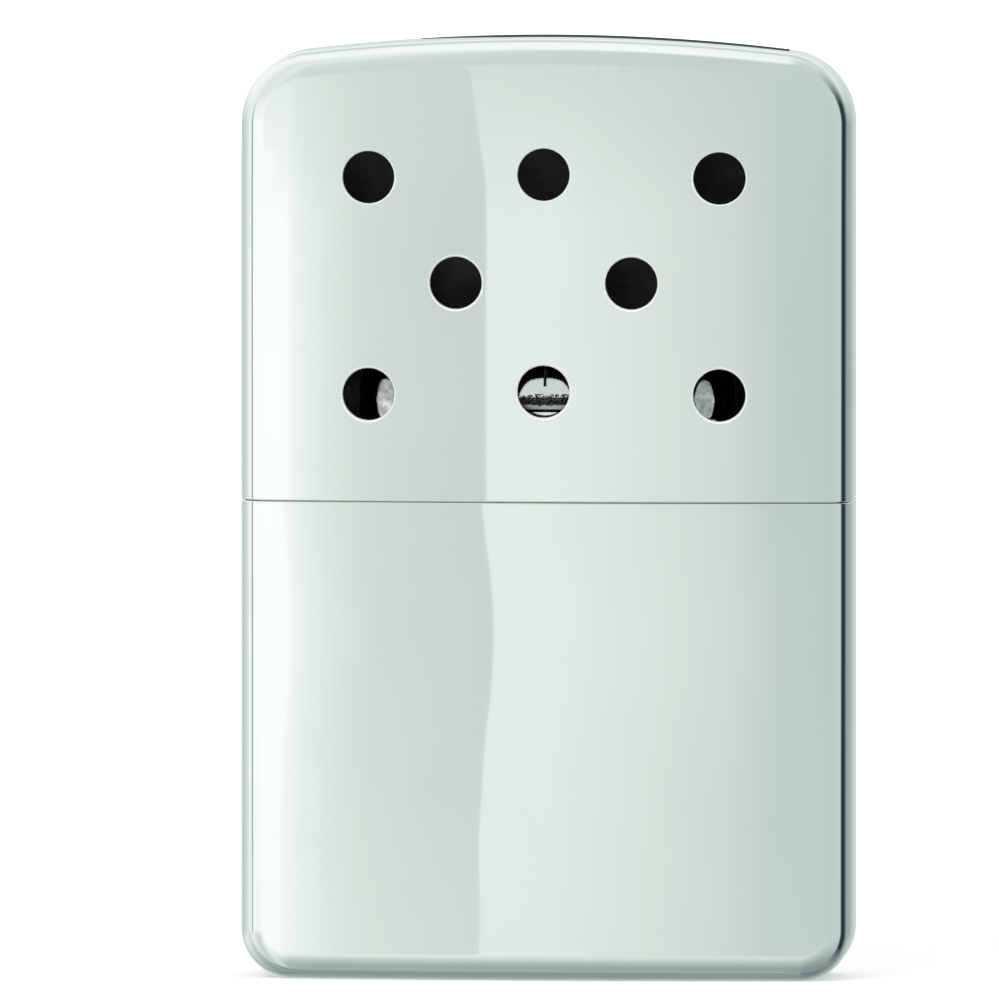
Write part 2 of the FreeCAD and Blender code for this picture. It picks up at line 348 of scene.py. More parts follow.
@dataclass(frozen=True)
class DrawnSheet(Finish):
    """Plain metal sheet with drawing lines along its height and a cloudy tint."""

    base: Colour
    stain: Colour
    smooth: float = 0.16
    dull: float = 0.34
    line_size: Point = (0.05, 0.05, 2.5)
    line_height: float = 0.0012
    ends: Optional[Range] = None
    # Colour of the painted shade towards the ends.
    end_shade: Colour = (0.36, 0.375, 0.37)
    cloud_size: Point = (5.0, 5.0, 5.0)
    cloud_height: float = 0.006
    speck_size: Point = (0.35, 0.35, 0.35)
    mottle_size: Point = (0.7, 0.7, 0.7)

    def build(self, graph: Graph) -> Material:
        """Builds the material, darker and mottled towards its ends where it has them; that
        darkening is painted shade.

        Args:
            graph: Empty tree.

        Returns:
            The finished material.
        """
        lines = graph.noise(self.line_size, 3.0, 0.6)
        cloud = graph.noise(self.cloud_size, 4.0, 0.6)
        speck = graph.noise(self.speck_size, 2.0, 0.5)
        tone = graph.blend(graph.spread(cloud, 0.42, 0.72, 0.0, 0.8), self.base, self.stain)
        tone = graph.blend(graph.spread(speck, 0.6, 0.78, 0.0, 0.25), tone, self.stain)
        # Painted shade: towards the ends the tone turns darker and mottled, standing in for the
        # lid's inside shading the cap's ends.
        if self.ends:
            away = graph.math("ABSOLUTE", graph.parts(graph.place)[0])
            far = graph.spread(away, self.ends[0] * MM, self.ends[1] * MM)
            mottle = graph.noise(self.mottle_size, 4.0, 0.65)
            share = graph.times(far, graph.spread(mottle, 0.32, 0.62, 0.35, 1.0))
            tone = graph.blend(share, tone, self.end_shade)
        rough = graph.spread(graph.math("ADD", lines, cloud), 0.7, 1.3, self.smooth, self.dull)
        normal = graph.bump((lines, self.line_height), (cloud, self.cloud_height))
        return graph.surface(Base_Color=tone, Metallic=1.0, Roughness=rough, Normal=normal)


@dataclass(frozen=True)
class Tow(Finish):
    """Soft mass of fine fibres."""

    light: Colour
    dark: Colour
    strand: float = 0.06
    lump: float = 1.2
    height: float = 0.08
    sheen: float = 0.25
    rough: float = 0.92
    across_shift: Point = (3.0, 7.0, 1.0)

    def build(self, graph: Graph) -> Material:
        """Builds the material: crossing strands over soft lumps.

        Args:
            graph: Empty tree.

        Returns:
            The finished material.
        """
        along = graph.noise((self.strand * 12, self.strand, self.strand), 3.0, 0.6)
        across = graph.noise((self.strand, self.strand * 9, self.strand * 2), 3.0, 0.6,
                             self.across_shift)
        lumps = graph.noise((self.lump,) * 3, 3.0, 0.55)
        weave = graph.math("MAXIMUM", along, across)
        shade = graph.math("ADD", graph.times(weave, 0.6), graph.times(lumps, 0.5))
        tone = graph.blend(graph.spread(shade, 0.42, 0.72), self.dark, self.light)
        normal = graph.bump((weave, self.height), (lumps, self.height * 3))
        return graph.surface(Base_Color=tone, Roughness=self.rough, Normal=normal,
                             Sheen_Weight=self.sheen, Sheen_Roughness=0.6)


@dataclass(frozen=True)
class Strand(Finish):
    """Single fibres or wires, each a little lighter or darker than the next."""

    light: Colour
    dark: Colour
    metal: float = 0.0
    rough: float = 0.6
    patch: float = 0.5
    grain: float = 0.03
    grain_height: float = 0.004

    def build(self, graph: Graph) -> Material:
        """Builds the material: patches along the strands and a fine grain.

        Args:
            graph: Empty tree.

        Returns:
            The finished material.
        """
        patches = graph.noise((self.patch,) * 3, 3.0, 0.6)
        grain = graph.noise((self.grain,) * 3, 2.0, 0.5)
        tone = graph.blend(graph.spread(patches, 0.35, 0.65), self.dark, self.light)
        rough = graph.spread(grain, 0.3, 0.7, self.rough * 0.8, min(1.0, self.rough * 1.2))
        return graph.surface(Base_Color=tone, Metallic=self.metal, Roughness=rough,
                             Normal=graph.bump((grain, self.grain_height)))


TANK_CHROME = MirrorChrome("chrome_tank", wave_height=0.045, shift=(0.3, 0.1, 0.75))
LID_CHROME = MirrorChrome("chrome_lid", wave_height=0.012, shift=(4.2, 1.7, 2.3))
# Inside of the lid and the tank, far darker than bare metal: painted shade, so that the vents look
# black.
SHADED_INSIDE = DrawnSheet("dull_inside", (0.13, 0.13, 0.13), (0.07, 0.07, 0.068), 0.42, 0.6)
# Near-white, mostly non-metal finish of the vents' eased edges: a painted highlight ring round each
# vent.
EDGE_HIGHLIGHT = MirrorChrome("eased_edge", (0.97, 0.98, 0.97), (0.95, 0.96, 0.95), 0.42, 0.5, 0.0,
                    metal=0.3)
NICKEL = DrawnSheet("satin_nickel", (0.66, 0.64, 0.58), (0.50, 0.47, 0.40))
STEEL = DrawnSheet("rolled_steel", (0.72, 0.72, 0.71), (0.60, 0.57, 0.52), 0.12, 0.26)
# Polished steel of the burner cap, darker towards its ends from 7 to 12 mm out: painted shade of
# the lid's inside.
CAP_STEEL = DrawnSheet("polished_steel", (0.95, 0.96, 0.95), (0.86, 0.86, 0.84), 0.05, 0.12,
                       (0.05, 0.05, 2.5), 0.0002, (7.0, 12.0))
TRAY_STEEL = DrawnSheet("tray_steel", (0.56, 0.56, 0.55), (0.26, 0.26, 0.25), 0.2, 0.4)
WIRE = Strand("gauze_wire", (0.56, 0.55, 0.52), (0.36, 0.34, 0.31), 1.0, 0.35)
GLASS = Strand("coated_fibre", (0.46, 0.48, 0.47), (0.07, 0.075, 0.075), 0.0, 0.5, 0.22)
SINGED = Strand("singed_fibre", (0.20, 0.205, 0.205), (0.03, 0.033, 0.033), 0.0, 0.5, 0.22)
COTTON_HAIR = Strand("cotton_hair", (0.90, 0.88, 0.83), (0.78, 0.75, 0.68), 0.0, 0.85)
COTTON = Tow("cotton_batting", (0.90, 0.88, 0.83), (0.66, 0.63, 0.56), 0.09, 2.2, 0.12, 0.4)
CATALYST = Tow("catalyst_wool", (0.42, 0.43, 0.42), (0.14, 0.14, 0.14), 0.05, 0.8, 0.06, 0.2)


# ------------------------------------------------------------------ geometry nodes

class Pattern(Nodes):
    """Geometry Nodes tree that repeats a shape, built here and applied to one mesh."""

    KINDS = ((Piece, "NodeSocketObject"), (Material, "NodeSocketMaterial"),
             (int, "NodeSocketInt"), (float, "NodeSocketFloat"))

    def __init__(self, name: str, values: dict[str, Any]) -> None:
        """Starts a tree with named inputs.

        Args:
            name: Name of the tree.
            values: Value of each input after the geometry, by its name. One is the Finish.
        """
        super().__init__(bpy.data.node_groups.new(name, "GeometryNodeTree"))
        face = self.tree.interface
        face.new_socket("Geometry", in_out="INPUT", socket_type="NodeSocketGeometry")
        self.values: dict[str, Any] = {}
        for label, value in values.items():
            kind = next(kind for made_of, kind in self.KINDS if isinstance(value, made_of))
            socket = face.new_socket(label, in_out="INPUT", socket_type=kind)
            self.values[socket.identifier] = value
        face.new_socket("Geometry", in_out="OUTPUT", socket_type="NodeSocketGeometry")
        self.input = self.add("NodeGroupInput").outputs

    def vector(self, x: Any = 0.0, y: Any = 0.0, z: Any = 0.0) -> Socket:
        """Joins three numbers or sockets into a vector."""
        return self.add("ShaderNodeCombineXYZ", {0: x, 1: y, 2: z}).outputs[0]

    def place(self) -> Sequence[Socket]:
        """Outputs with the X, Y and Z of each point."""
        return self.parts(self.add("GeometryNodeInputPosition").outputs[0])

    def line(self, count: Any, start: Socket, step: Socket) -> Socket:
        """Row of count points, from start on, each a step from the last."""
        return self.add("GeometryNodeMeshLine", {"Count": count, "Start Location": start,
                                                 "Offset": step}, mode="OFFSET").outputs[0]

    def move(self, geometry: Socket, **where: Socket) -> Socket:
        """Moves points by an Offset or to a Position."""
        return self.add("GeometryNodeSetPosition", {"Geometry": geometry, **where}).outputs[0]

    def repeat(self, points: Socket, shape: Socket, **turned: Socket) -> Socket:
        """Puts a copy of a shape on each point.

        Args:
            points: The points.
            shape: Geometry of the shape.
            **turned: Rotation of the copies, if they are turned.

        Returns:
            The copies as plain geometry.
        """
        copies = self.add("GeometryNodeInstanceOnPoints",
                          {"Points": points, "Instance": shape, **turned})
        return self.add("GeometryNodeRealizeInstances", {"Geometry": copies.outputs[0]}).outputs[0]

    def shape(self, label: str) -> Socket:
        """Geometry of an object that is an input."""
        return self.add("GeometryNodeObjectInfo", {"Object": self.input[label]}).outputs["Geometry"]

    def cut(self, solver: str, *tools: Socket) -> Socket:
        """Takes tools away from the mesh that goes in.

        Args:
            solver: How the cut is worked out.
            *tools: Closed forms.

        Returns:
            What is left of the mesh.
        """
        return self.add("GeometryNodeMeshBoolean", {
            "Mesh 1": self.input["Geometry"], "Mesh 2": list(tools)},
            operation="DIFFERENCE", solver=solver).outputs[0]

    def close(self, geometry: Socket) -> "Pattern":
        """Ends the tree in Realize Instances and Set Material.

        Args:
            geometry: What the tree has made.

        Returns:
            The finished tree.
        """
        real = self.add("GeometryNodeRealizeInstances", {"Geometry": geometry})
        dressed = self.add("GeometryNodeSetMaterial", {"Geometry": real.outputs[0],
                                                       "Material": self.input["Finish"]})
        self.add("NodeGroupOutput", {0: dressed.outputs[0]})
        return self

    def apply(self, piece: Piece) -> Piece:
        """Runs the tree on a piece and leaves the result in it as a plain mesh.

        Args:
            piece: Object whose mesh goes in.

        Returns:
            The same object.
        """
        modifier = piece.modifiers.new(self.tree.name, "NODES")
        modifier.node_group = self.tree
        for key, value in self.values.items():
            modifier[key] = value
        return settle(piece)


def settle(piece: Piece) -> Piece:
    """Applies the modifiers of a piece, so that it is a plain mesh.

    Args:
        piece: Object with modifiers.

    Returns:
        The same object.
    """
    graph = bpy.context.evaluated_depsgraph_get()
    graph.update()
    mesh = bpy.data.meshes.new_from_object(piece.evaluated_get(graph), depsgraph=graph)
    piece.modifiers.clear()
    piece.data = mesh
    mesh.name = piece.name
    return piece


# ------------------------------------------------------------------ meshes

def make(name: str, points: Sequence[Sequence[float]], faces: Sequence[Sequence[int]]) -> Piece:
    """Makes an object from points in millimetres, still in millimetres.

    Args:
        name: Name of the object.
        points: Corners of the mesh.
        faces: Corners of each face.

    Returns:
        The new object, with faces that point outwards.
    """
    mesh = bpy.data.meshes.new(name)
    mesh.from_pydata([tuple(point) for point in points], [], [tuple(face) for face in faces])
    work = bmesh.new()
    work.from_mesh(mesh)
    bmesh.ops.remove_doubles(work, verts=work.verts, dist=1e-4)
    bmesh.ops.dissolve_degenerate(work, edges=work.edges, dist=1e-5)
    bmesh.ops.recalc_face_normals(work, faces=work.faces)
    work.to_mesh(mesh)
    work.free()
    piece = bpy.data.objects.new(name, mesh)
    bpy.context.scene.collection.objects.link(piece)
    return piece


def quads(rows: int, count: int, closed: bool) -> list[list[int]]:
    """Joins rows of points that each run round.

    Args:
        rows: Number of rows.
        count: Points in a row.
        closed: Whether the last row joins the first.

    Returns:
        The faces between the rows.
    """
    faces = []
    for row in range(rows if closed else rows - 1):
        low, high = row * count, (row + 1) % rows * count
        for k in range(count):
            after = (k + 1) % count
            faces.append([low + k, low + after, high + after, high + k])
    return faces


def loft(loops: Sequence[tuple[Loop, float]], closed: bool) -> tuple[list[Point], list[list[int]]]:
    """Joins level loops that have the same number of points.

    Args:
        loops: Points in plan and height of each loop.
        closed: Whether the last loop joins the first; otherwise both ends are filled.

    Returns:
        Points and faces.
    """
    count = len(loops[0][0])
    points = [(float(x), float(y), float(z)) for loop, z in loops for x, y in loop]
    faces = quads(len(loops), count, closed)
    if not closed:
        faces.append(list(range(count)))
        faces.append([(len(loops) - 1) * count + k for k in range(count)])
    return points, faces


@dataclass(frozen=True)
class Oblong:
    """Rounded rectangle in plan, in millimetres."""

    length: float
    width: float
    corner: float

    def loop(self, grow: float = 0.0, least: float = 0.0,
             steps: tuple[int, int, int] = (24, 6, 8)) -> Loop:
        """Outline, grown by an offset.

        Args:
            grow: How far it is moved outwards.
            least: Smallest radius of its corners.
            steps: Steps on a long side, on a short side and in a corner.

        Returns:
            Points from the front's left end, counterclockwise.
        """
        corner = max(least, self.corner + grow)
        x, y = ((size + 2 * grow) / 2 - corner for size in (self.length, self.width))
        along, across, turn = steps
        sides = (((-x, -y), (x, -y), -90, along), ((x, -y), (x, y), 0, across),
                 ((x, y), (-x, y), 90, along), ((-x, y), (-x, -y), 180, across))
        points = []
        for start, end, angle, count in sides:
            out = [corner * math.cos(math.radians(angle)), corner * math.sin(math.radians(angle))]
            for t in (step / count for step in range(count)):
                points.append([a + (b - a) * t + c for a, b, c in zip(start, end, out)])
            for a in (math.radians(angle + 90 * step / turn) for step in range(turn)):
                points.append([end[0] + corner * math.cos(a), end[1] + corner * math.sin(a)])
        return np.array(points)


def soften(profile: Sequence[tuple[float, float, float]], steps: int = 4,
           closed: bool = False) -> list[tuple[float, float]]:
    """Rounds the corners of a line in section.

    Args:
        profile: Offset, height and radius of each corner.
        steps: Steps in each rounding.
        closed: Whether the line runs back to its start.

    Returns:
        Offset and height of each point.
    """
    result = []
    last = len(profile) - 1
    for index, (u, z, radius) in enumerate(profile):
        if radius <= 0 or (not closed and index in (0, last)):
            result.append((u, z))
            continue
        here = np.array((u, z))
        before = np.array(profile[index - 1][:2]) - here
        after = np.array(profile[(index + 1) % len(profile)][:2]) - here
        before, after = before / np.linalg.norm(before), after / np.linalg.norm(after)
        half = math.acos(max(-1.0, min(1.0, float(before @ after)))) / 2
        reach = radius / math.tan(half)
        middle = (before + after) / np.linalg.norm(before + after)
        centre = here + middle * radius / math.sin(half)
        first, second = here + before * reach - centre, here + after * reach - centre
        sweep = math.pi - 2 * half
        for step in range(steps + 1):
            t = step / steps
            arm = math.sin((1 - t) * sweep) * first + math.sin(t * sweep) * second
            result.append(tuple(centre + arm / math.sin(sweep)))
    return result


def shade(piece: Piece, finishes: Sequence[Finish], angle: float = 35.0) -> None:
    """Turns a finished mesh into metres, smooths it and gives it its finishes.

    Args:
        piece: Object in millimetres.
        finishes: Its finishes, in the order of its faces' numbers.
        angle: Edges sharper than this stay sharp.
    """
    piece.data.transform(Matrix.Scale(MM, 4))
    piece.data.materials.clear()
    for finish in finishes:
        piece.data.materials.append(finish.material())
    piece.data.shade_smooth()
    piece.data.set_sharp_from_angle(angle=math.radians(angle))


def polish(piece: Piece, normal_at: Callable[[np.ndarray], np.ndarray],
           outside: np.ndarray) -> None:
    """Gives some faces the exact normals of the form that they stand for.

    Args:
        piece: Finished object, in metres.
        normal_at: Turns points in millimetres into normals.
        outside: Whether each face takes part.
    """
    mesh = piece.data
    points = np.zeros(len(mesh.vertices) * 3)
    mesh.vertices.foreach_get("co", points)
    exact = normal_at(points.reshape(-1, 3) / MM)
    corners = np.zeros(len(mesh.loops), int)
    mesh.loops.foreach_get("vertex_index", corners)
    totals = np.zeros(len(mesh.polygons), int)
    mesh.polygons.foreach_get("loop_total", totals)
    taken = np.repeat(outside, totals)
    normals = np.where(taken[:, None], exact[corners], 0.0)
    mesh.normals_split_custom_set(normals.tolist())


def attach(piece: Piece, body: Body, slot: Slot, *nodes: str) -> Piece:
    """Lets a piece ride on a body and stand for its CAD nodes.

    Args:
        piece: Finished object.
        body: Body that it moves with.
        slot: Material slot that its finish belongs to; not used.
        *nodes: CAD nodes that it replaces.

    Returns:
        The same object.
    """
    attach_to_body(piece, body.value)
    if nodes:
        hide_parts(*nodes)
    triangles = sum(len(face.vertices) - 2 for face in piece.data.polygons)
    LOG.info("%s: %d triangles on %s", piece.name, triangles, body.value)
    return piece


def press(name: str, loops: Sequence[tuple[Loop, float]], finish: Finish, body: Body,
          slot: Slot, node: str) -> None:
    """Makes a sheet piece from the loops that its section runs through.

    Args:
        name: Name of the piece.
        loops: Points in plan and height of each loop.
        finish: Its finish.
        body: Body that it moves with.
        slot: Material slot that its finish belongs to.
        node: CAD node that it replaces.
    """
    piece = make(name, *loft(loops, closed=True))
    shade(piece, (finish,))
    attach(piece, body, slot, node)


def discard(*tools: Piece) -> None:
    """Removes objects that only cut others."""
    for tool in tools:
        bpy.data.objects.remove(tool)


def level_cut(work: bmesh.types.BMesh, height: float, toward: float = 1.0,
              clear: bool = False) -> None:
    """Cuts a mesh level; clear keeps only the side that toward points to, 1 being up."""
    bmesh.ops.bisect_plane(work, geom=work.verts[:] + work.edges[:] + work.faces[:], dist=1e-5,
                           plane_co=(0, 0, height), plane_no=(0, 0, toward), clear_inner=clear)


def unit(arms: np.ndarray) -> np.ndarray:
    """Scales rows to length 1."""
    return arms / np.maximum(np.linalg.norm(arms, axis=1), 1e-9)[:, None]


# ------------------------------------------------------------------ case form

@dataclass(frozen=True)
class CaseForm:
    """Drawn form of the closed case, in millimetres, with its broad faces towards -Y and +Y."""

    width: float = 51.0
    height: float = 78.526
    depth: float = 14.0
    wall: float = 0.5
    seam: float = 40.0
    sag: float = 1.3
    edge: float = 2.4
    arch: float = 176.0
    top_corner: float = 6.0
    base_corner: float = 4.3
    flattening: float = 0.15
    bend_z: float = 63.8
    bend: float = 100.0
    rings: int = 18
    edge_steps: int = 10
    outline_steps: tuple[int, ...] = (10, 16, 48, 20, 40)
    rim_steps: int = 4

    @property
    def crown(self) -> float:
        """Radius of the broad face's sideways curve."""
        half = self.width / 2
        return (half ** 2 + self.sag ** 2) / (2 * self.sag)

    @property
    def axis_y(self) -> float:
        """Y of the axis that the front face curves about."""
        return self.crown - self.depth / 2

    def corners(self, low: float) -> tuple[np.ndarray, np.ndarray, float]:
        """Centres of the outline's base and top corners on the right, and the top corner's turn.

        Args:
            low: Height of the outline's base.

        Returns:
            Base centre, top centre as (x, z), and the angle that the top corner turns through.
        """
        half = self.width / 2
        base = np.array((half - self.base_corner, low + self.base_corner))
        x = half - self.top_corner
        centre_z = self.height - self.arch
        z = centre_z + math.sqrt((self.arch - self.top_corner) ** 2 - x ** 2)
        return base, np.array((x, z)), math.atan2(z - centre_z, x)

    def outline(self, low: float) -> tuple[np.ndarray, np.ndarray]:
        """Front view of the case.

        Args:
            low: Height of its base.

        Returns:
            Points as (x, z) and their outward normals, counterclockwise from the base's middle.
        """
        base, top, turn = self.corners(low)
        half, upright = self.width / 2, math.pi / 2
        foot, base_turn, side, top_turn, arched = self.outline_steps
        right: list[tuple[float, float, float, float]] = []
        for t in np.linspace(0, 1, foot + 1)[:-1]:
            right.append((base[0] * t, low, 0, -1))
        self.arc(right, base, self.base_corner, np.linspace(-upright, 0, base_turn + 1)[:-1])
        for t in np.linspace(0, 1, side + 1)[:-1]:
            right.append((half, base[1] + (top[1] - base[1]) * t, 1, 0))
        self.arc(right, top, self.top_corner, np.linspace(0, turn, top_turn + 1)[:-1])
        self.arc(right, (0.0, self.height - self.arch), self.arch,
                 np.linspace(turn, upright, arched + 1))
        left = [(-x, z, -nx, nz) for x, z, nx, nz in right[-2:0:-1]]
        rows = np.array(right + left)
        return rows[:, :2], rows[:, 2:]

    @staticmethod
    def arc(line: list[tuple[float, float, float, float]], centre: Sequence[float], radius: float,
            angles: Sequence[float]) -> None:
        """Adds an arc to a line.

        Args:
            line: Point and normal of each step, as (x, z, x, z).
            centre: The arc's centre as (x, z).
            radius: Its radius.
            angles: Angle of each of its points.
        """
        for a in angles:
            line.append((centre[0] + radius * math.cos(a), centre[1] + radius * math.sin(a),
                         math.cos(a), math.sin(a)))

    def meridian(self, z: np.ndarray, inset: float) -> tuple[np.ndarray, np.ndarray]:
        """Side view of a broad face.

        Args:
            z: Heights.
            inset: How far the face is moved inwards.

        Returns:
            Distance from the crown's axis, and sine of the lean back.
        """
        over = np.maximum(z - self.bend_z, 0.0)
        bend = self.bend - inset
        return self.crown - self.bend + np.sqrt(bend ** 2 - over ** 2), over / bend

    def face_y(self, x: np.ndarray, z: np.ndarray, inset: float) -> np.ndarray:
        """Y of the front face, moved inwards by inset."""
        radius = self.meridian(z, inset)[0]
        return self.axis_y - np.sqrt(radius ** 2 - x ** 2)

    def face_normal(self, x: np.ndarray, z: np.ndarray, inset: float) -> np.ndarray:
        """Outward normals of the front face.

        Args:
            x: Places across the width, in millimetres.
            z: Their heights.
            inset: How far the face is moved inwards.

        Returns:
            Unit normals.
        """
        radius, lean = self.meridian(z, inset)
        upright = np.sqrt(1 - lean ** 2)
        side = x / radius
        return np.stack([side * upright, -np.sqrt(1 - side ** 2) * upright, lean], axis=-1)

    def solid(self, name: str, inset: float, low: float) -> Piece:
        """Closed mesh of the case, its long edges rolled by a ball.

        Args:
            name: Name of the object.
            inset: How far it is moved inwards.
            low: Height of the base that the form is worked out from, before the inset.

        Returns:
            Object in millimetres.
        """
        flat, side = self.outline(low)
        centre = flat - self.edge * side
        middle_y = self.face_y(centre[:, 0], centre[:, 1], self.edge)
        facing = self.face_normal(centre[:, 0], centre[:, 1], self.edge)
        ball = np.stack([centre[:, 0], middle_y, centre[:, 1]], axis=-1)
        wall = np.stack([side[:, 0], np.zeros(len(side)), side[:, 1]], axis=-1)
        radius = self.edge - inset
        sweep = np.arccos(np.clip(np.sum(wall * facing, axis=1), -1, 1))[:, None]
        contact = ball + radius * facing
        spine_z = np.clip(contact[:, 2], self.width / 2, self.height - self.width / 2)
        rows = []
        for t in np.linspace(1, 0, self.rings + 1)[:-1]:
            x = contact[:, 0] * (1 - t)
            z = contact[:, 2] * (1 - t) + spine_z * t
            rows.append(np.stack([x, self.face_y(x, z, inset), z], axis=-1))
        for step in range(self.edge_steps + 1):
            t = step / self.edge_steps
            arm = (np.sin((1 - t) * sweep) * facing + np.sin(t * sweep) * wall) / np.sin(sweep)
            rows.append(ball + radius * arm)
        rows += [row * np.array((1, -1, 1)) for row in rows[::-1]]
        return make(name, np.concatenate(rows), quads(len(rows), len(flat), closed=False))

    def part(self, piece: Piece, height: float, toward: float, tuck: float = 0.0) -> Piece:
        """Cuts a closed form level, closes it and draws its rim's edge in.

        Args:
            piece: Closed form in millimetres.
            height: Where it is cut.
            toward: 1 to keep what is above, -1 to keep what is below.
            tuck: Radius of the rim's rounding, or 0 for none.

        Returns:
            The same object.
        """
        work = bmesh.new()
        work.from_mesh(piece.data)
        for k in range(1, self.rim_steps + 1 if tuck else 0):
            level = tuck * (1 - math.cos(math.pi / 2 * k / self.rim_steps))
            level_cut(work, height + toward * level)
        level_cut(work, height, toward, clear=True)
        border = [edge for edge in work.edges if edge.is_boundary]
        bmesh.ops.holes_fill(work, edges=border, sides=0)
        if tuck:
            near = [vert for vert in work.verts if abs(vert.co.z - height) < tuck]
            places = np.array([vert.co[:] for vert in near])
            rise = np.abs(places[:, 2] - height)
            draw = tuck - np.sqrt(np.maximum(tuck ** 2 - (tuck - rise) ** 2, 0))
            for vert, place in zip(near, places - self.normal_at(places) * draw[:, None]):
                vert.co = Vector(place)
        bmesh.ops.recalc_face_normals(work, faces=work.faces)
        work.to_mesh(piece.data)
        work.free()
        return piece

    def depth_inside(self, x: np.ndarray, z: np.ndarray, low: float
                     ) -> tuple[np.ndarray, np.ndarray]:
        """Distance inside the outline, and the normal of the outline's nearest point.

        Args:
            x: X of the points.
            z: Z of the points.
            low: Height of the outline's base.

        Returns:
            Distances and unit normals as (x, z).
        """
        base, top, turn = self.corners(low)
        side = np.sign(x) + (x == 0)
        q = np.stack([np.abs(x), z], axis=-1)
        arm = q - np.array((0, self.height - self.arch))
        reach = np.linalg.norm(arm, axis=1)
        depths = np.stack([self.width / 2 - q[:, 0], z - low, self.arch - reach])
        normals = np.stack([np.tile((1.0, 0.0), (len(x), 1)), np.tile((0.0, -1.0), (len(x), 1)),
                            arm / reach[:, None]])
        nearest = np.argmin(depths, axis=0)
        index = np.arange(len(x))
        depth, normal = depths[nearest, index], normals[nearest, index]
        for centre, radius, start, end in ((base, self.base_corner, -math.pi / 2, 0.0),
                                           (top, self.top_corner, 0.0, turn)):
            arm = q - centre
            reach = np.maximum(np.linalg.norm(arm, axis=1), 1e-9)
            angle = np.arctan2(arm[:, 1], arm[:, 0])
            near = (angle > start) & (angle < end)
            depth = np.where(near, radius - reach, depth)
            normal = np.where(near[:, None], arm / reach[:, None], normal)
        return depth, normal * np.stack([side, np.ones(len(x))], axis=-1)

    def around_edge(self, points: np.ndarray, depth: np.ndarray, side: np.ndarray
                    ) -> tuple[np.ndarray, np.ndarray]:
        """Place of points round the centre line of the rolled edge.

        Args:
            points: Points in millimetres.
            depth: Their distance inside the outline.
            side: Normal of the outline next to them.

        Returns:
            How far they lie outwards of the line and how far towards their broad face.
        """
        x, y, z = points.T
        short = self.edge - depth
        middle_y = self.face_y(x - short * side[:, 0], z - short * side[:, 1], self.edge)
        return np.maximum(short, 0.0), np.maximum(np.abs(y) + middle_y, 0.0)

    def normal_at(self, points: np.ndarray) -> np.ndarray:
        """Outward normals of the outside at points on it.

        Args:
            points: Points in millimetres.

        Returns:
            Unit normals.
        """
        x, y, z = points.T
        depth, side = self.depth_inside(x, z, -self.flattening)
        front = np.where(y < 0, -1.0, 1.0)
        out, lift = self.around_edge(points, depth, side)
        same = np.ones_like(x)
        face = self.face_normal(x, z, 0.0) * np.stack([same, -front, same], -1)
        touch = self.edge * (1 - face[:, 0] * side[:, 0] - face[:, 2] * side[:, 1])
        rolled = unit(np.stack([side[:, 0] * out, front * lift, side[:, 1] * out], -1))
        return np.where((depth >= touch)[:, None], face, rolled)

    def inner_gap(self, points: np.ndarray) -> np.ndarray:
        """Measures how far points are from the inside's surface.

        Args:
            points: Points in millimetres.

        Returns:
            Their distances in millimetres.
        """
        x, y, z = points.T
        depth, side = self.depth_inside(x, z, 0.0)
        rolled = self.edge - self.wall - np.hypot(*self.around_edge(points, depth, side))
        face = -self.face_y(x, z, self.wall) - np.abs(y)
        return np.abs(np.where(depth > self.edge, face, rolled))

    def section(self, inset: float) -> Loop:
        """Plan of the straight part, moved inwards, with the same steps as an oblong.

        Args:
            inset: How far it is moved inwards.

        Returns:
            Points from the front's left end, counterclockwise.
        """
        along, across, turn = 24, 6, 8
        half, radius, edge = self.width / 2 - inset, self.crown - inset, self.edge - inset
        x = half - edge
        reach = math.sqrt((radius - edge) ** 2 - x ** 2)
        y = reach - self.axis_y
        angle = math.atan2(reach, x)
        points = []

        def arc(cx: float, cy: float, r: float, start: float, end: float, steps: int) -> None:
            """Adds an arc without its last point.

            Args:
                cx: X of its centre.
                cy: Y of its centre.
                r: Radius.
                start: Angle of its first point, in radians.
                end: Angle of the point that is left out.
                steps: Number of points.
            """
            for step in range(steps):
                a = start + (end - start) * step / steps
                points.append((cx + r * math.cos(a), cy + r * math.sin(a)))

        for sign, first in ((1, -math.pi), (-1, 0.0)):
            arc(0, sign * self.axis_y, radius, first + angle, first + math.pi - angle, along)
            arc(sign * x, -sign * y, edge, first + math.pi - angle, first + math.pi, turn)
            for step in range(across):
                points.append((sign * half, sign * y * (2 * step / across - 1)))
            arc(sign * x, sign * y, edge, first + math.pi, first + math.pi + angle, turn)
        return np.array(points)


FORM = CaseForm()


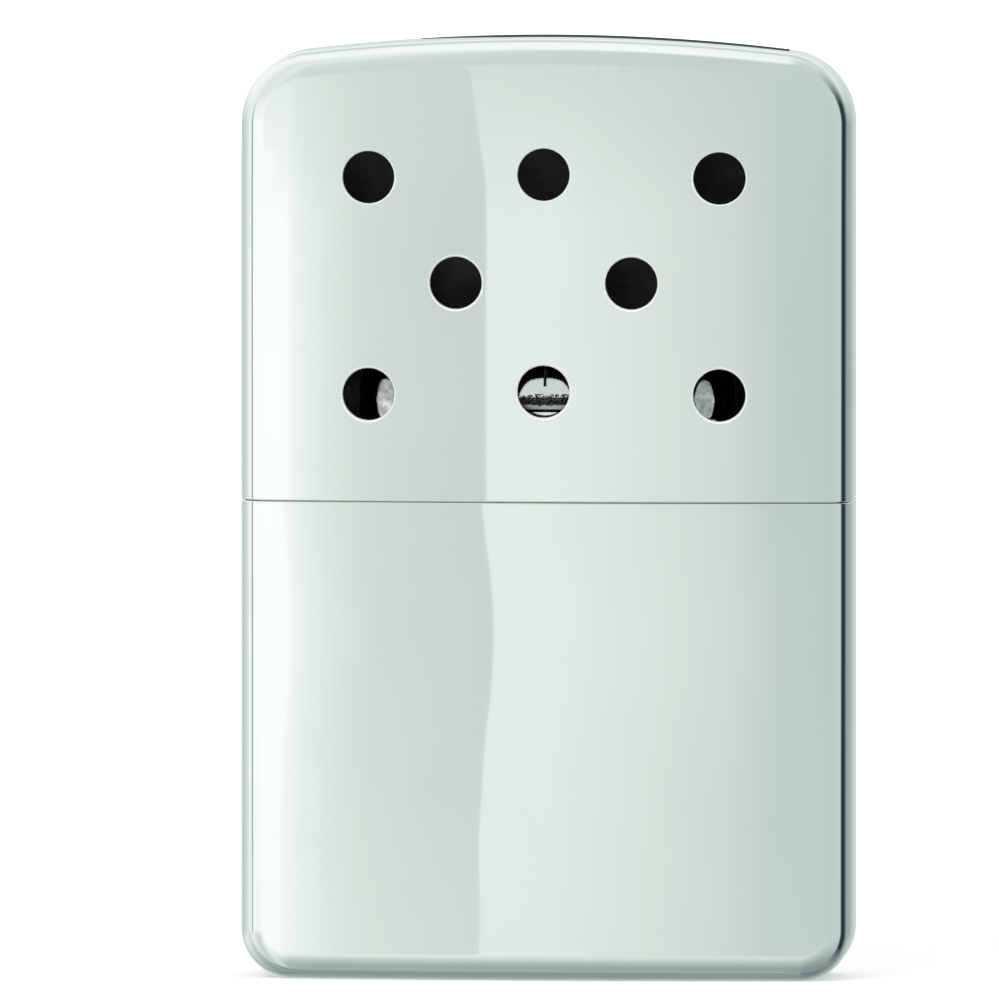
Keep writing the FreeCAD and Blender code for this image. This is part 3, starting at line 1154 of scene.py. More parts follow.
@dataclass
class CaseHalf:
    """One half of the case, parted from the whole at the seam, with a softened rim."""

    name: str
    upper: bool
    gap: float = 0.03
    rim: float = 0.11
    run_on: float = 4.0
    bow: float = 0.0
    crown: float = 0.0
    swell: float = 0.07
    ripple: float = 0.0
    ripple_length: float = 28.0
    ripple_crest: float = 29.5
    ripple_foot: float = 16.0
    foot_share: float = 3.0
    swell_y: float = 4.0
    skin: float = 0.02
    slack: float = 0.005

    @property
    def toward(self) -> float:
        """1 for the upper half, -1 for the lower one."""
        return 1.0 if self.upper else -1.0

    @property
    def rim_z(self) -> float:
        """Height of the rim."""
        return FORM.seam + self.toward * self.gap

    def outer(self) -> Piece:
        """Builds the half's outside, pressed flat at height 0.

        Returns:
            Closed form in millimetres.
        """
        whole = FORM.solid(self.name, 0.0, -FORM.flattening)
        piece = FORM.part(whole, self.rim_z, self.toward, self.rim)
        return piece if self.upper else FORM.part(piece, 0.0, 1.0)

    def hollow(self) -> Piece:
        """The half's inside as a closed form that runs on past the rim."""
        whole = FORM.solid(self.name + "_hollow", FORM.wall, 0.0)
        return FORM.part(whole, FORM.seam - self.toward * self.run_on, self.toward)

    def normal_at(self, points: np.ndarray) -> np.ndarray:
        """Outward normals of the half's outside, with its softened rim and its unevenness.

        Args:
            points: Points in millimetres on the outside.

        Returns:
            Unit normals.
        """
        normals = FORM.normal_at(points)
        flat = np.abs(normals[:, 1])
        share = np.clip((FORM.seam - points[:, 2]) / FORM.seam, 0.0, 1.0)
        normals[:, 2] -= self.bow * share * flat
        wave = np.cos(2 * math.pi * (points[:, 2] - self.ripple_crest) / self.ripple_length)
        foot = np.maximum(self.ripple_foot - points[:, 2], 0.0) / self.ripple_foot
        normals[:, 0] -= self.ripple * flat * (wave - self.foot_share * foot)
        over = np.clip(points[:, 1] / self.swell_y, -1.0, 1.0) * (1 - flat)
        normals[:, 1] += over * (self.crown * normals[:, 2] ** 2 + self.swell * normals[:, 0] ** 2)
        normals = unit(normals)
        rise = (points[:, 2] - self.rim_z) * self.toward
        down = np.clip(1 - rise / self.rim, 0.0, 1.0)[:, None]
        level = np.sqrt(1 - down ** 2)
        sunk = normals * level + np.array((0, 0, -self.toward)) * down
        return np.where(down > 0, sunk, normals)

    def finish(self, piece: Piece, finishes: Sequence[Finish],
               skip: Callable[[np.ndarray], np.ndarray]) -> None:
        """Sorts the faces into outside, inside and punched edges, and dresses them.

        Args:
            piece: The hollowed half, in millimetres.
            finishes: Those of the outside, the inside and the punched edges.
            skip: Tells for points whether they belong to a vent's edge.
        """
        mesh = piece.data
        places = np.array([vertex.co[:] for vertex in mesh.vertices])
        gap = FORM.inner_gap(places)
        lip = skip(places)
        outside = np.zeros(len(mesh.polygons), bool)
        kinds: list[int] = []
        for polygon in mesh.polygons:
            corners = list(polygon.vertices)
            height, level = polygon.center.z, abs(polygon.normal.z)
            within = bool(np.all(gap[corners] < self.skin))
            rim = level > 0.9 and abs(height - self.rim_z) < self.slack
            floor = level > 0.999 and height < self.slack
            edge = not within and bool(np.all(lip[corners]))
            kinds.append(1 if within else 2 if edge else 0)
            outside[polygon.index] = not (within or rim or floor or edge)
        shade(piece, finishes, 50.0)
        mesh.polygons.foreach_set("material_index", kinds)
        polish(piece, self.normal_at, outside)


# ------------------------------------------------------------------ lid

@dataclass
class Lid:
    """Slip-on lid with eight vents in its front."""

    vent_radius: float = 2.175
    lip: float = 0.2
    pitch: float = 14.66
    rows: tuple[float, float, float] = (49.25, 58.3, 67.35)
    counts: tuple[int, int, int] = (3, 2, 3)
    outer_drop: float = 0.28
    outer_from: float = 0.75
    steps: int = 64
    lip_steps: int = 6
    flare: float = 1.15
    reach: tuple[float, float, float] = (-3.0, 0.4, 2.0)
    before: float = 30.0
    slack: float = 0.035

    def punch(self) -> Piece:
        """Builds a round punch along Z, flared where it leaves a surface at height 0.

        Returns:
            Closed form in millimetres.
        """
        bore, lip, (low, clear, high) = self.vent_radius, self.lip, self.reach
        profile = [(bore, low), (bore, -lip * 2)]
        for k in range(self.lip_steps):
            a = math.pi / 2 * k / self.lip_steps
            profile.append((bore + lip * (1 - math.cos(a)), -lip + lip * math.sin(a)))
        wide = bore + lip * self.flare
        profile += [(bore + lip, 0.0), (wide, clear), (wide, high)]
        turns = [2 * math.pi * k / self.steps for k in range(self.steps)]
        circle = np.array([(math.cos(a), math.sin(a)) for a in turns])
        return make("vent_punch", *loft([(radius * circle, z) for radius, z in profile],
                                        closed=False))

    def vents(self, hollow: Piece, punch: Piece) -> Pattern:
        """Tree that punches the vents square to the face, and hollows the lid.

        Args:
            hollow: Form of the inside.
            punch: Form of one vent.

        Returns:
            The tree.
        """
        low, middle, high = self.rows
        tree = Pattern("Lid vents", {
            "Hollow": hollow, "Punch": punch, "Vent pitch": self.pitch, "Low row": low,
            "Middle row": middle, "High row": high, "Outer drop": self.outer_drop,
            "Before": -self.before, "Finish": LID_CHROME.material()})
        given = tree.input
        pitch = given["Vent pitch"]
        step = tree.vector(x=pitch)
        rows = []
        for label, count in zip(("Low row", "Middle row", "High row"), self.counts):
            start = tree.vector(tree.times(pitch, (1 - count) / 2), given["Before"], given[label])
            rows.append(tree.line(count, start, step))
        joined = tree.add("GeometryNodeJoinGeometry", {0: rows}).outputs[0]
        outer = tree.math("GREATER_THAN", tree.math("ABSOLUTE", tree.place()[0]),
                          tree.times(pitch, self.outer_from))
        fall = tree.times(given["Outer drop"], -1.0, outer)
        ray = tree.add("GeometryNodeRaycast", {
            "Target Geometry": given["Geometry"], "Ray Direction": (0.0, 1.0, 0.0),
            "Ray Length": 2 * self.before}).outputs
        kept = tree.add("GeometryNodeStoreNamedAttribute", {
            "Geometry": tree.move(joined, Offset=tree.vector(z=fall)), "Name": "face_normal",
            "Value": ray["Hit Normal"]}, data_type="FLOAT_VECTOR", domain="POINT")
        facing = tree.add("GeometryNodeInputNamedAttribute", {"Name": "face_normal"},
                          data_type="FLOAT_VECTOR")
        turned = tree.add("FunctionNodeAlignRotationToVector", {"Vector": facing.outputs[0]},
                          axis="Z")
        punches = tree.repeat(tree.move(kept.outputs[0], Position=ray["Hit Position"]),
                              tree.shape("Punch"), Rotation=turned.outputs[0])
        return tree.close(tree.cut("MANIFOLD", punches, tree.shape("Hollow")))

    def near_vent(self, points: np.ndarray) -> np.ndarray:
        """Tells which points lie on a vent's edge or in its bore.

        Args:
            points: Points in millimetres.

        Returns:
            True for each point that does.
        """
        found = np.zeros(len(points), bool)
        near = self.vent_radius + self.lip + self.slack
        for z, count in zip(self.rows, self.counts):
            for index in range(count):
                x = (index - (count - 1) / 2) * self.pitch
                drop = self.outer_drop if abs(x) > self.pitch * self.outer_from else 0.0
                away = np.hypot(points[:, 0] - x, points[:, 2] - z + drop)
                found |= (away < near) & (points[:, 1] < 0)
        return found

    def build(self) -> None:
        """Builds the lid and dresses it."""
        half = CaseHalf("lid_case", True, crown=0.035)
        piece, hollow, punch = half.outer(), half.hollow(), self.punch()
        self.vents(hollow, punch).apply(piece)
        half.finish(piece, (LID_CHROME, SHADED_INSIDE, EDGE_HIGHLIGHT), self.near_vent)
        discard(hollow, punch)
        attach(piece, Body.LID, Slot.CHROME, "lid_shell")


# ------------------------------------------------------------------ tank

@dataclass
class Tank:
    """Drawn can with its soldered shoulder, filler neck and cotton packing."""

    sheet: float = 0.4
    collar: float = 0.62
    deck_z: float = 44.0
    skirt_z: float = 36.0
    joggle_z: float = 39.6
    deck_round: float = 0.55
    deck_inset: float = 6.5
    skirt_inset: float = 0.52
    joint_gap: float = 0.02
    mouth: tuple[float, float] = (0.25, 0.06)
    neck: Oblong = Oblong(29.6, 8.0, 2.5)
    neck_z: float = 46.85
    flange: float = 1.2
    cotton_inset: float = 1.35
    cotton_low: float = 1.5
    cotton_z: float = 42.1
    cotton_foot: float = 4.0
    cotton_shoulder: float = 0.8
    cotton_squeeze: tuple[float, float] = (0.16, 0.12)
    cotton_dent: tuple[float, float] = (0.15, 0.7)
    cotton_lump: float = 0.45
    cotton_half: tuple[float, float] = (30.0, 9.0)
    hair_patch: Oblong = Oblong(27.6, 6.4, 1.6)

    def build(self) -> None:
        """Builds the tank's pieces in order."""
        self.build_shell()
        self.build_shoulder()
        self.build_neck()
        self.build_cotton()

    def build_shell(self) -> None:
        """Builds the can."""
        half = CaseHalf("tank_case", False, bow=0.02, ripple=0.00233)
        piece, hollow = half.outer(), half.hollow()
        cut = piece.modifiers.new("hollow", "BOOLEAN")
        cut.operation, cut.object, cut.solver = "DIFFERENCE", hollow, "MANIFOLD"
        settle(piece)
        half.finish(piece, (TANK_CHROME, SHADED_INSIDE, SHADED_INSIDE),
                    lambda points: np.zeros(len(points), bool))
        discard(hollow)
        attach(piece, Body.TANK, Slot.CHROME, "tank_shell")

    def build_shoulder(self) -> None:
        """Builds the cup with the collar and the deck."""
        inner, under = self.collar + self.sheet, self.deck_z - self.sheet
        skirt, joggle = self.skirt_inset, self.joggle_z
        outside = soften([(skirt, self.skirt_z, 0), (skirt, joggle, 0.05),
                          (self.collar, joggle + 0.05, 0.05),
                          (self.collar, self.deck_z, self.deck_round),
                          (self.deck_inset, self.deck_z, 0)])
        inside = soften([(self.deck_inset, under, 0), (inner, under, 0.2),
                         (inner, self.skirt_z, 0)])
        loops = [(FORM.section(offset), z) for offset, z in outside[:-1]]
        wide, drop = self.mouth
        loops += [(self.neck.loop(grow), z) for grow, z in (
            (wide, self.deck_z), (self.joint_gap, self.deck_z - drop), (self.joint_gap, under))]
        loops += [(FORM.section(offset), z) for offset, z in inside[1:]]
        press("shoulder_cup", loops, NICKEL, Body.TANK, Slot.NICKEL, "tank_top")

    def build_neck(self) -> None:
        """Builds the oblong filler neck with its flange."""
        low, sheet = self.deck_z - 2 * self.sheet, self.sheet
        line = soften([(0, low + sheet, 0.12), (0, self.neck_z, 0.15),
                       (-sheet, self.neck_z, 0.15), (-sheet, low, 0.1),
                       (self.flange, low, 0.1), (self.flange, low + sheet, 0.1)], closed=True)
        press("filler_tube", [(self.neck.loop(u), z) for u, z in line], NICKEL, Body.TANK,
              Slot.NICKEL, "filler_neck")

    def build_cotton(self) -> None:
        """Builds the cotton packing with loose fibres on its top."""
        plan = FORM.section(self.cotton_inset)
        foot, crest = self.cotton_low + self.cotton_foot, self.cotton_z - self.cotton_shoulder
        loops = []
        for z in np.linspace(self.cotton_low, foot, 5):
            squeeze = 1.0 - math.sqrt(max(0.0, 1 - ((foot - z) / self.cotton_foot) ** 2))
            loops.append((plan * (1 - np.array(self.cotton_squeeze) * squeeze), z))
        loops += [(plan, z) for z in np.linspace(foot + 1.5, crest, 18)]
        for part in (step / 10.5 for step in range(1, 11)):
            loops.append((plan * (1 - part ** 1.6),
                          self.cotton_z - self.cotton_shoulder * (1 - part) ** 2))
        piece = make("cotton_wadding", *loft(loops, closed=False))
        for vertex in piece.data.vertices:
            co = vertex.co
            lump = max(0.0, noise.fractal(co * self.cotton_lump, 1.0, 2.0, 3) * 0.5 + 0.5)
            aside = Vector((-co.x / self.cotton_half[0], -co.y / self.cotton_half[1], 0))
            inward = aside if co.z < self.cotton_z - 1 else Vector((0, 0, -1))
            vertex.co = co + inward * (self.cotton_dent[0] + self.cotton_dent[1] * lump)
        shade(piece, (COTTON,), 180.0)
        attach(piece, Body.TANK, Slot.COTTON, "cotton_packing")
        patch = self.hair_patch.loop()
        top = make("cotton_hairs", *loft([(patch, self.cotton_z - 1.3),
                                          (patch, self.cotton_z - 1.15)], closed=False))
        hairs = Fibres("Cotton hairs", length=1.4, thickness=0.035, count=700, seed=11)
        hairs.grow(top, COTTON_HAIR, 0.5)
        attach(top, Body.TANK, Slot.COTTON)


# ------------------------------------------------------------------ fibres

@dataclass(frozen=True)
class Fibres:
    """Loose curly fibres that lie on a surface."""

    name: str
    length: float
    thickness: float
    count: int
    seed: int

    def grow(self, piece: Piece, finish: Finish, tilt: float) -> None:
        """Replaces the mesh of a piece by fibres strewn on its faces, and shades them.

        Args:
            piece: Object in millimetres.
            finish: Finish of the fibres.
            tilt: How far a fibre may stand up, in radians.
        """
        area = sum(polygon.area for polygon in piece.data.polygons)
        tree = Pattern(self.name, {
            "Fibre length": self.length, "Thickness": self.thickness,
            "Density": self.count / area, "Tilt": tilt, "Seed": self.seed,
            "Finish": finish.material()})
        given = tree.input
        strewn = tree.add("GeometryNodeDistributePointsOnFaces", {
            "Mesh": given["Geometry"], "Density": given["Density"], "Seed": given["Seed"]})
        curl = tree.add("GeometryNodeCurveSpiral", {
            "Resolution": 9, "Rotations": 0.55, "Start Radius": 0.5, "End Radius": 0.32,
            "Height": 0.3})
        thin = tree.add("GeometryNodeCurvePrimitiveCircle", {"Resolution": 3, "Radius": 0.5})
        slim = tree.math("DIVIDE", given["Thickness"], given["Fibre length"])
        slimmer = tree.add("GeometryNodeTransform", {
            0: thin.outputs[0], "Scale": tree.vector(slim, slim, slim)})
        tube = tree.add("GeometryNodeCurveToMesh", {"Curve": curl.outputs[0],
                                                    "Profile Curve": slimmer.outputs[0],
                                                    "Fill Caps": True})
        down = tree.times(given["Tilt"], -1.0)
        low = tree.vector(down, down, 0.0)
        high = tree.vector(given["Tilt"], given["Tilt"], 6.28)
        spin = tree.add("FunctionNodeRandomValue", {0: low, 1: high, "Seed": given["Seed"]},
                        data_type="FLOAT_VECTOR")
        turn = tree.add("FunctionNodeEulerToRotation", {0: spin.outputs[0]})
        both = tree.add("FunctionNodeRotateRotation", {"Rotation": strewn.outputs["Rotation"],
                                                       "Rotate By": turn.outputs[0]},
                        rotation_space="LOCAL")
        size = tree.add("FunctionNodeRandomValue", {2: 0.55, 3: 1.1, "Seed": given["Seed"]},
                        data_type="FLOAT")
        hairs = tree.repeat(strewn.outputs["Points"], tube.outputs[0], Rotation=both.outputs[0],
                            Scale=tree.times(size.outputs[1], given["Fibre length"]))
        tree.close(hairs).apply(piece)
        shade(piece, (finish,), 180.0)


# ------------------------------------------------------------------ burner head

@dataclass
class Burner:
    """Burner head: skirt, ported tray, woven gauze, catalyst wool and slotted cap."""

    sheet: float = 0.35
    skirt: Oblong = Oblong(30.6, 9.0, 3.0)
    skirt_low: float = 44.0
    skirt_high: float = 47.3
    skirt_port: float = 2.2
    skirt_roof: float = 0.3
    bead: float = 0.7
    cap: Oblong = Oblong(31.4, 9.8, 3.2)
    cap_low: float = 47.0
    cap_high: float = 52.5
    cap_lean: float = 0.28
    cap_turn: float = 0.03
    lean_blend: float = 0.2
    cutter: float = 40.0
    window: tuple[float, float, float] = (23.2, 47.42, 48.66)
    slots: int = 9
    slot_pitch: float = 2.5
    slot_width: float = 0.25
    slot_low: float = 49.58
    slot_height: float = 6.0
    gauze: Oblong = Oblong(29.9, 8.3, 2.45)
    gauze_z: float = 48.12
    wire: float = 0.1
    mesh_pitch: float = 0.65
    mat: Oblong = Oblong(30.3, 8.7, 2.65)
    mat_low: float = 48.22
    mat_high: float = 51.95
    mat_foot: float = 0.06
    mat_top: float = 0.12
    mat_middle: float = 50.2
    mat_lump: tuple[float, float, float] = (1.3, 0.14, -0.05)
    mat_stretch: tuple[float, float] = (0.15, 1.6)
    stray_steps: int = 40
    stray_inset: float = 0.4
    stray_y: tuple[float, float] = (0.1, 0.25)
    stray_low: float = 0.62
    stray_crest: tuple[float, float] = (0.16, 0.24)
    stray_wave: float = 0.9

    def build(self) -> None:
        """Builds the burner head's pieces in order."""
        self.build_skirt()
        self.dress_tray()
        self.build_gauze()
        self.build_mat()
        self.build_cap()

    def build_skirt(self) -> None:
        """Builds the cup that grips the neck, with the bead that seats the cap."""
        top, port, sheet, bead = self.skirt_high, self.skirt_port, self.sheet, self.bead
        roof = top - self.skirt_roof
        line = soften([(0, self.skirt_low, 0.1), (0, self.cap_low - bead, 0.15),
                       (bead, self.cap_low - bead, 0.3), (bead, self.cap_low, 0.3),
                       (0, self.cap_low, 0.05), (0, top, 0.15), (-port, top, 0.12),
                       (-port, roof, 0.12), (-sheet, roof, 0.1), (-sheet, self.skirt_low, 0.1)],
                      closed=True)
        press("skirt_cup", [(self.skirt.loop(u, 0.6), z) for u, z in line], STEEL, Body.BURNER,
              Slot.STEEL, "burner_skirt")

    def loaf(self, name: str, inset: float, low: float) -> Piece:
        """Closed form of the cap, moved inwards by inset.

        Args:
            name: Name of the object.
            inset: How far it is moved inwards.
            low: Height of its base.

        Returns:
            Object in millimetres.
        """
        steps = 50, 8, 14
        radius, spring = self.cap.corner - inset, self.cap_high - self.cap.corner
        loops = [(self.cap.loop(-inset, steps=steps), z) for z in np.linspace(low, spring, 5)]
        for k in range(1, steps[2] + 1):
            a = math.pi / 2 * k / steps[2]
            draw = inset + radius * (1 - math.cos(a))
            loops.append((self.cap.loop(-draw, 1e-3, steps), spring + radius * math.sin(a)))
        return make(name, *loft(loops, closed=False))

    def cap_core(self, points: np.ndarray) -> np.ndarray:
        """Nearest points of the core that the cap's rounding runs round.

        Args:
            points: Points in millimetres.

        Returns:
            The core's points.
        """
        half = np.array((self.cap.length, self.cap.width)) / 2 - self.cap.corner
        return np.column_stack([np.clip(points[:, :2], -half, half),
                                np.minimum(points[:, 2], self.cap_high - self.cap.corner)])

    def cap_normal(self, points: np.ndarray) -> np.ndarray:
        """Outward normals of the cap's outside at points in millimetres."""
        return unit(points - self.cap_core(points))

    def polished_normal(self, points: np.ndarray) -> np.ndarray:
        """Normals that the polished cap shades with: leaned back over the windows, turned a little.

        Args:
            points: Points in millimetres on the cap's outside.

        Returns:
            Unit normals.
        """
        skin = self.cap_normal(points)
        over = points[:, 2] - self.window[2] + self.lean_blend / 2
        above = np.clip(over / self.lean_blend, 0.0, 1.0)
        rise = np.maximum(np.arcsin(np.clip(skin[:, 2], -1.0, 1.0)), self.cap_lean * above)
        turn = np.arctan2(skin[:, 1], skin[:, 0]) + self.cap_turn
        return np.stack([np.cos(turn) * np.cos(rise), np.sin(turn) * np.cos(rise), np.sin(rise)],
                        axis=-1)

    def heat_slots(self, hollow: Piece, window: Piece) -> Pattern:
        """Tree that hollows the cap and cuts its windows and heat slots.

        Args:
            hollow: Form of the inside.
            window: Bar that cuts both windows.

        Returns:
            The tree.
        """
        tree = Pattern("Heat slots", {
            "Hollow": hollow, "Window": window, "Slots": self.slots,
            "Slot pitch": self.slot_pitch, "Slot width": self.slot_width,
            "Slot foot": self.slot_low, "Slot height": self.slot_height,
            "Finish": CAP_STEEL.material()})
        given = tree.input
        pitch, tall = given["Slot pitch"], given["Slot height"]
        start = tree.times(tree.math("SUBTRACT", given["Slots"], 1.0), pitch, -0.5)
        middle = tree.math("ADD", given["Slot foot"], tree.times(tall, 0.5))
        spots = tree.line(given["Slots"], tree.vector(start, 0.0, middle), tree.vector(x=pitch))
        blade = tree.add("GeometryNodeMeshCube", {
            "Size": tree.vector(given["Slot width"], self.cutter, tall)})
        blades = tree.repeat(spots, blade.outputs[0])
        return tree.close(tree.cut("EXACT", blades, tree.shape("Hollow"), tree.shape("Window")))

    def build_cap(self) -> None:
        """Builds the drawn cap."""
        piece = self.loaf("slotted_cap", 0.0, self.cap_low)
        hollow = self.loaf("cap_hollow", self.sheet, self.cap_low - 1.0)
        long, low, high = self.window
        ends = Oblong(long, high - low, 0.3).loop(steps=(20, 3, 5))
        reach = self.cutter / 2
        bar = make("window_bar", *loft([(ends, -reach), (ends, reach)], closed=False))
        bar.data.transform(Matrix.Translation((0, 0, (low + high) / 2))
                           @ Matrix.Rotation(math.pi / 2, 4, "X"))
        self.heat_slots(hollow, bar).apply(piece)
        discard(hollow, bar)
        places = np.array([vertex.co[:] for vertex in piece.data.vertices])
        core = places - self.cap_normal(places) * self.cap.corner
        on_skin = np.abs(core - self.cap_core(places)).max(axis=1) < 0.02
        outside = np.array([
            polygon.normal.z > -0.9 and bool(np.all(on_skin[list(polygon.vertices)]))
            for polygon in piece.data.polygons])
        shade(piece, (CAP_STEEL,), 30.0)
        polish(piece, self.polished_normal, outside)
        attach(piece, Body.BURNER, Slot.STEEL, "burner_cap")

    def build_gauze(self) -> None:
        """Weaves the gauze from crossing wires."""
        tree = Pattern("Woven gauze", {
            "Length": self.gauze.length, "Width": self.gauze.width, "Corner": self.gauze.corner,
            "Height": self.gauze_z, "Pitch": self.mesh_pitch, "Wire": self.wire,
            "Finish": WIRE.material()})
        given = tree.input
        sets = [self.wires(tree, 1.0, given["Width"], given["Length"]),
                self.wires(tree, -1.0, given["Length"], given["Width"])]
        tree.close(tree.add("GeometryNodeJoinGeometry", {0: sets}).outputs[0])
        piece = tree.apply(make("woven_gauze", [(0, 0, 0), (1, 0, 0), (0, 1, 0)], [(0, 1, 2)]))
        shade(piece, (WIRE,), 60.0)
        attach(piece, Body.BURNER, Slot.WIRE, "burner_gauze")

    def wires(self, tree: Pattern, over: float, span: Socket, run: Socket) -> Socket:
        """Adds one set of side by side wires that weave up and down.

        Args:
            tree: Tree of the gauze.
            over: 1 for the wires along X, which start over the others, -1 for those along Y.
            span: Width that the set covers.
            run: Length of its wires.

        Returns:
            The wires.
        """
        given = tree.input
        pitch = given["Pitch"]

        def lay(along: Any = 0.0, across: Any = 0.0, up: Any = 0.0) -> Socket:
            """Vector in the wires' own directions."""
            return tree.vector(*((along, across) if over > 0 else (across, along)), up)

        side = tree.math("FLOOR", tree.math("DIVIDE", tree.times(span, 0.49), pitch))
        first = tree.times(side, pitch, -1.0)
        count = tree.math("ADD", tree.times(side, 2.0), 1.0)
        half = tree.times(run, 0.5)
        spots = tree.line(count, lay(0.0, first, given["Height"]), lay(across=pitch))
        straight = tree.add("GeometryNodeCurvePrimitiveLine", {
            "Start": lay(tree.times(half, -1.0)), "End": lay(half)})
        fine = tree.add("GeometryNodeResampleCurve", {
            "Curve": straight.outputs[0], "Length": tree.times(pitch, 0.25)}, mode="LENGTH")
        laid = tree.repeat(spots, fine.outputs[0])
        x, y, _ = tree.place()
        phase = tree.math("DIVIDE", math.pi, pitch)
        wave = tree.times(*(tree.math("COSINE", tree.times(value, phase)) for value in (x, y)))
        rise = tree.times(wave, tree.times(given["Wire"], 0.5 * over))
        trimmed = tree.add("GeometryNodeDeleteGeometry", {
            "Geometry": tree.move(laid, Offset=tree.vector(z=rise)),
            "Selection": self.outside_oblong(tree)}, domain="POINT")
        thin = tree.add("GeometryNodeCurvePrimitiveCircle", {
            "Resolution": 5, "Radius": tree.times(given["Wire"], 0.49)})
        return tree.add("GeometryNodeCurveToMesh", {
            "Curve": trimmed.outputs[0], "Profile Curve": thin.outputs[0],
            "Fill Caps": True}).outputs[0]

    @staticmethod
    def outside_oblong(tree: Pattern) -> Socket:
        """Tells which points lie outside the gauze's rounded outline.

        Args:
            tree: Tree with the inputs Length, Width and Corner.

        Returns:
            Output socket, 1 for a point outside.
        """
        given = tree.input
        x, y, _ = tree.place()
        arms = []
        for value, size in ((x, given["Length"]), (y, given["Width"])):
            core = tree.math("SUBTRACT", tree.times(size, 0.5), given["Corner"])
            arm = tree.math("SUBTRACT", tree.math("ABSOLUTE", value), core)
            arms.append(tree.math("MAXIMUM", arm, 0.0))
        away = tree.math("SQRT", tree.math("ADD", *(tree.times(arm, arm) for arm in arms)))
        return tree.math("GREATER_THAN", away, given["Corner"])

    def build_mat(self) -> None:
        """Builds the catalyst wool and the fibres that stand out of it."""
        foot, top = self.mat_low + self.mat_foot, self.mat_high - self.mat_top
        line = soften([(-4.0, foot, 0), (-0.3, foot, 0.3), (-0.3, self.mat_high - 2.0, 1.0),
                       (-2.3, top, 1.2), (-4.1, top, 0)], 6)
        loops = [(self.mat.loop(u, 0.15, (60, 10, 8)), z) for u, z in line]
        piece = make("catalyst_wool", *loft(loops, closed=False))
        (scale, high, base), (along, up) = self.mat_lump, self.mat_stretch
        for vertex in piece.data.vertices:
            co = vertex.co
            lump = noise.fractal(co * scale, 1.0, 2.0, 4)
            out = Vector((co.x * along, co.y, (co.z - self.mat_middle) * up)).normalized()
            vertex.co = co + out * (high * lump + base)
        shade(piece, (CATALYST,), 180.0)
        attach(piece, Body.BURNER, Slot.FIBRE, "catalyst_mat")
        for bed, bunch, finish in (
                (self.fibre_bed(), Fibres("Mat fibres", length=0.6, thickness=0.04, count=2000,
                                          seed=5), GLASS),
                (self.stray_bed(), Fibres("Stray fibres", length=0.36, thickness=0.06, count=3200,
                                          seed=8), SINGED)):
            bunch.grow(bed, finish, 0.6)
            attach(bed, Body.BURNER, Slot.FIBRE)

    def fibre_bed(self) -> Piece:
        """Builds the band round the wool's lower edge that its fibres stand on.

        Returns:
            Object in millimetres.
        """
        low = self.mat_low
        rows = ((-0.45, low + 0.1), (-0.3, low + 0.2), (-0.3, low + 0.9), (-0.35, low + 1.3))
        points, faces = loft([(self.mat.loop(u), z) for u, z in rows], closed=False)
        return make("catalyst_fibres", points, faces[:-2])

    def stray_bed(self) -> Piece:
        """Builds the ragged strips in front of both windows that the stray fibres stand on.

        Returns:
            Object in millimetres.
        """
        long, low, high = self.window
        (out, back), (base, wave) = self.stray_y, self.stray_crest
        y, half, steps = self.cap.width / 2 + out, long / 2 - self.stray_inset, self.stray_steps
        points, faces = [], []
        for side in (-1, 1):
            first = len(points)
            for step in range(steps + 1):
                x = half * (2 * step / steps - 1) * -side
                crest = noise.noise(Vector((x * self.stray_wave, side * 3.0, 0.0)))
                points += [(x, side * (y - back), low + self.stray_low),
                           (x, side * y, high + base + wave * crest)]
            faces += [[k, k + 2, k + 3, k + 1] for k in range(first, first + 2 * steps, 2)]
        return make("stray_fibres", points, faces)

    def dress_tray(self) -> None:
        """Gives the tray under the wool its finish."""
        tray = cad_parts["mat_tray"]
        tray.data.materials.clear()
        tray.data.materials.append(TRAY_STEEL.material())
        LOG.info("mat_tray: CAD shape, dressed")


# ------------------------------------------------------------------ studio

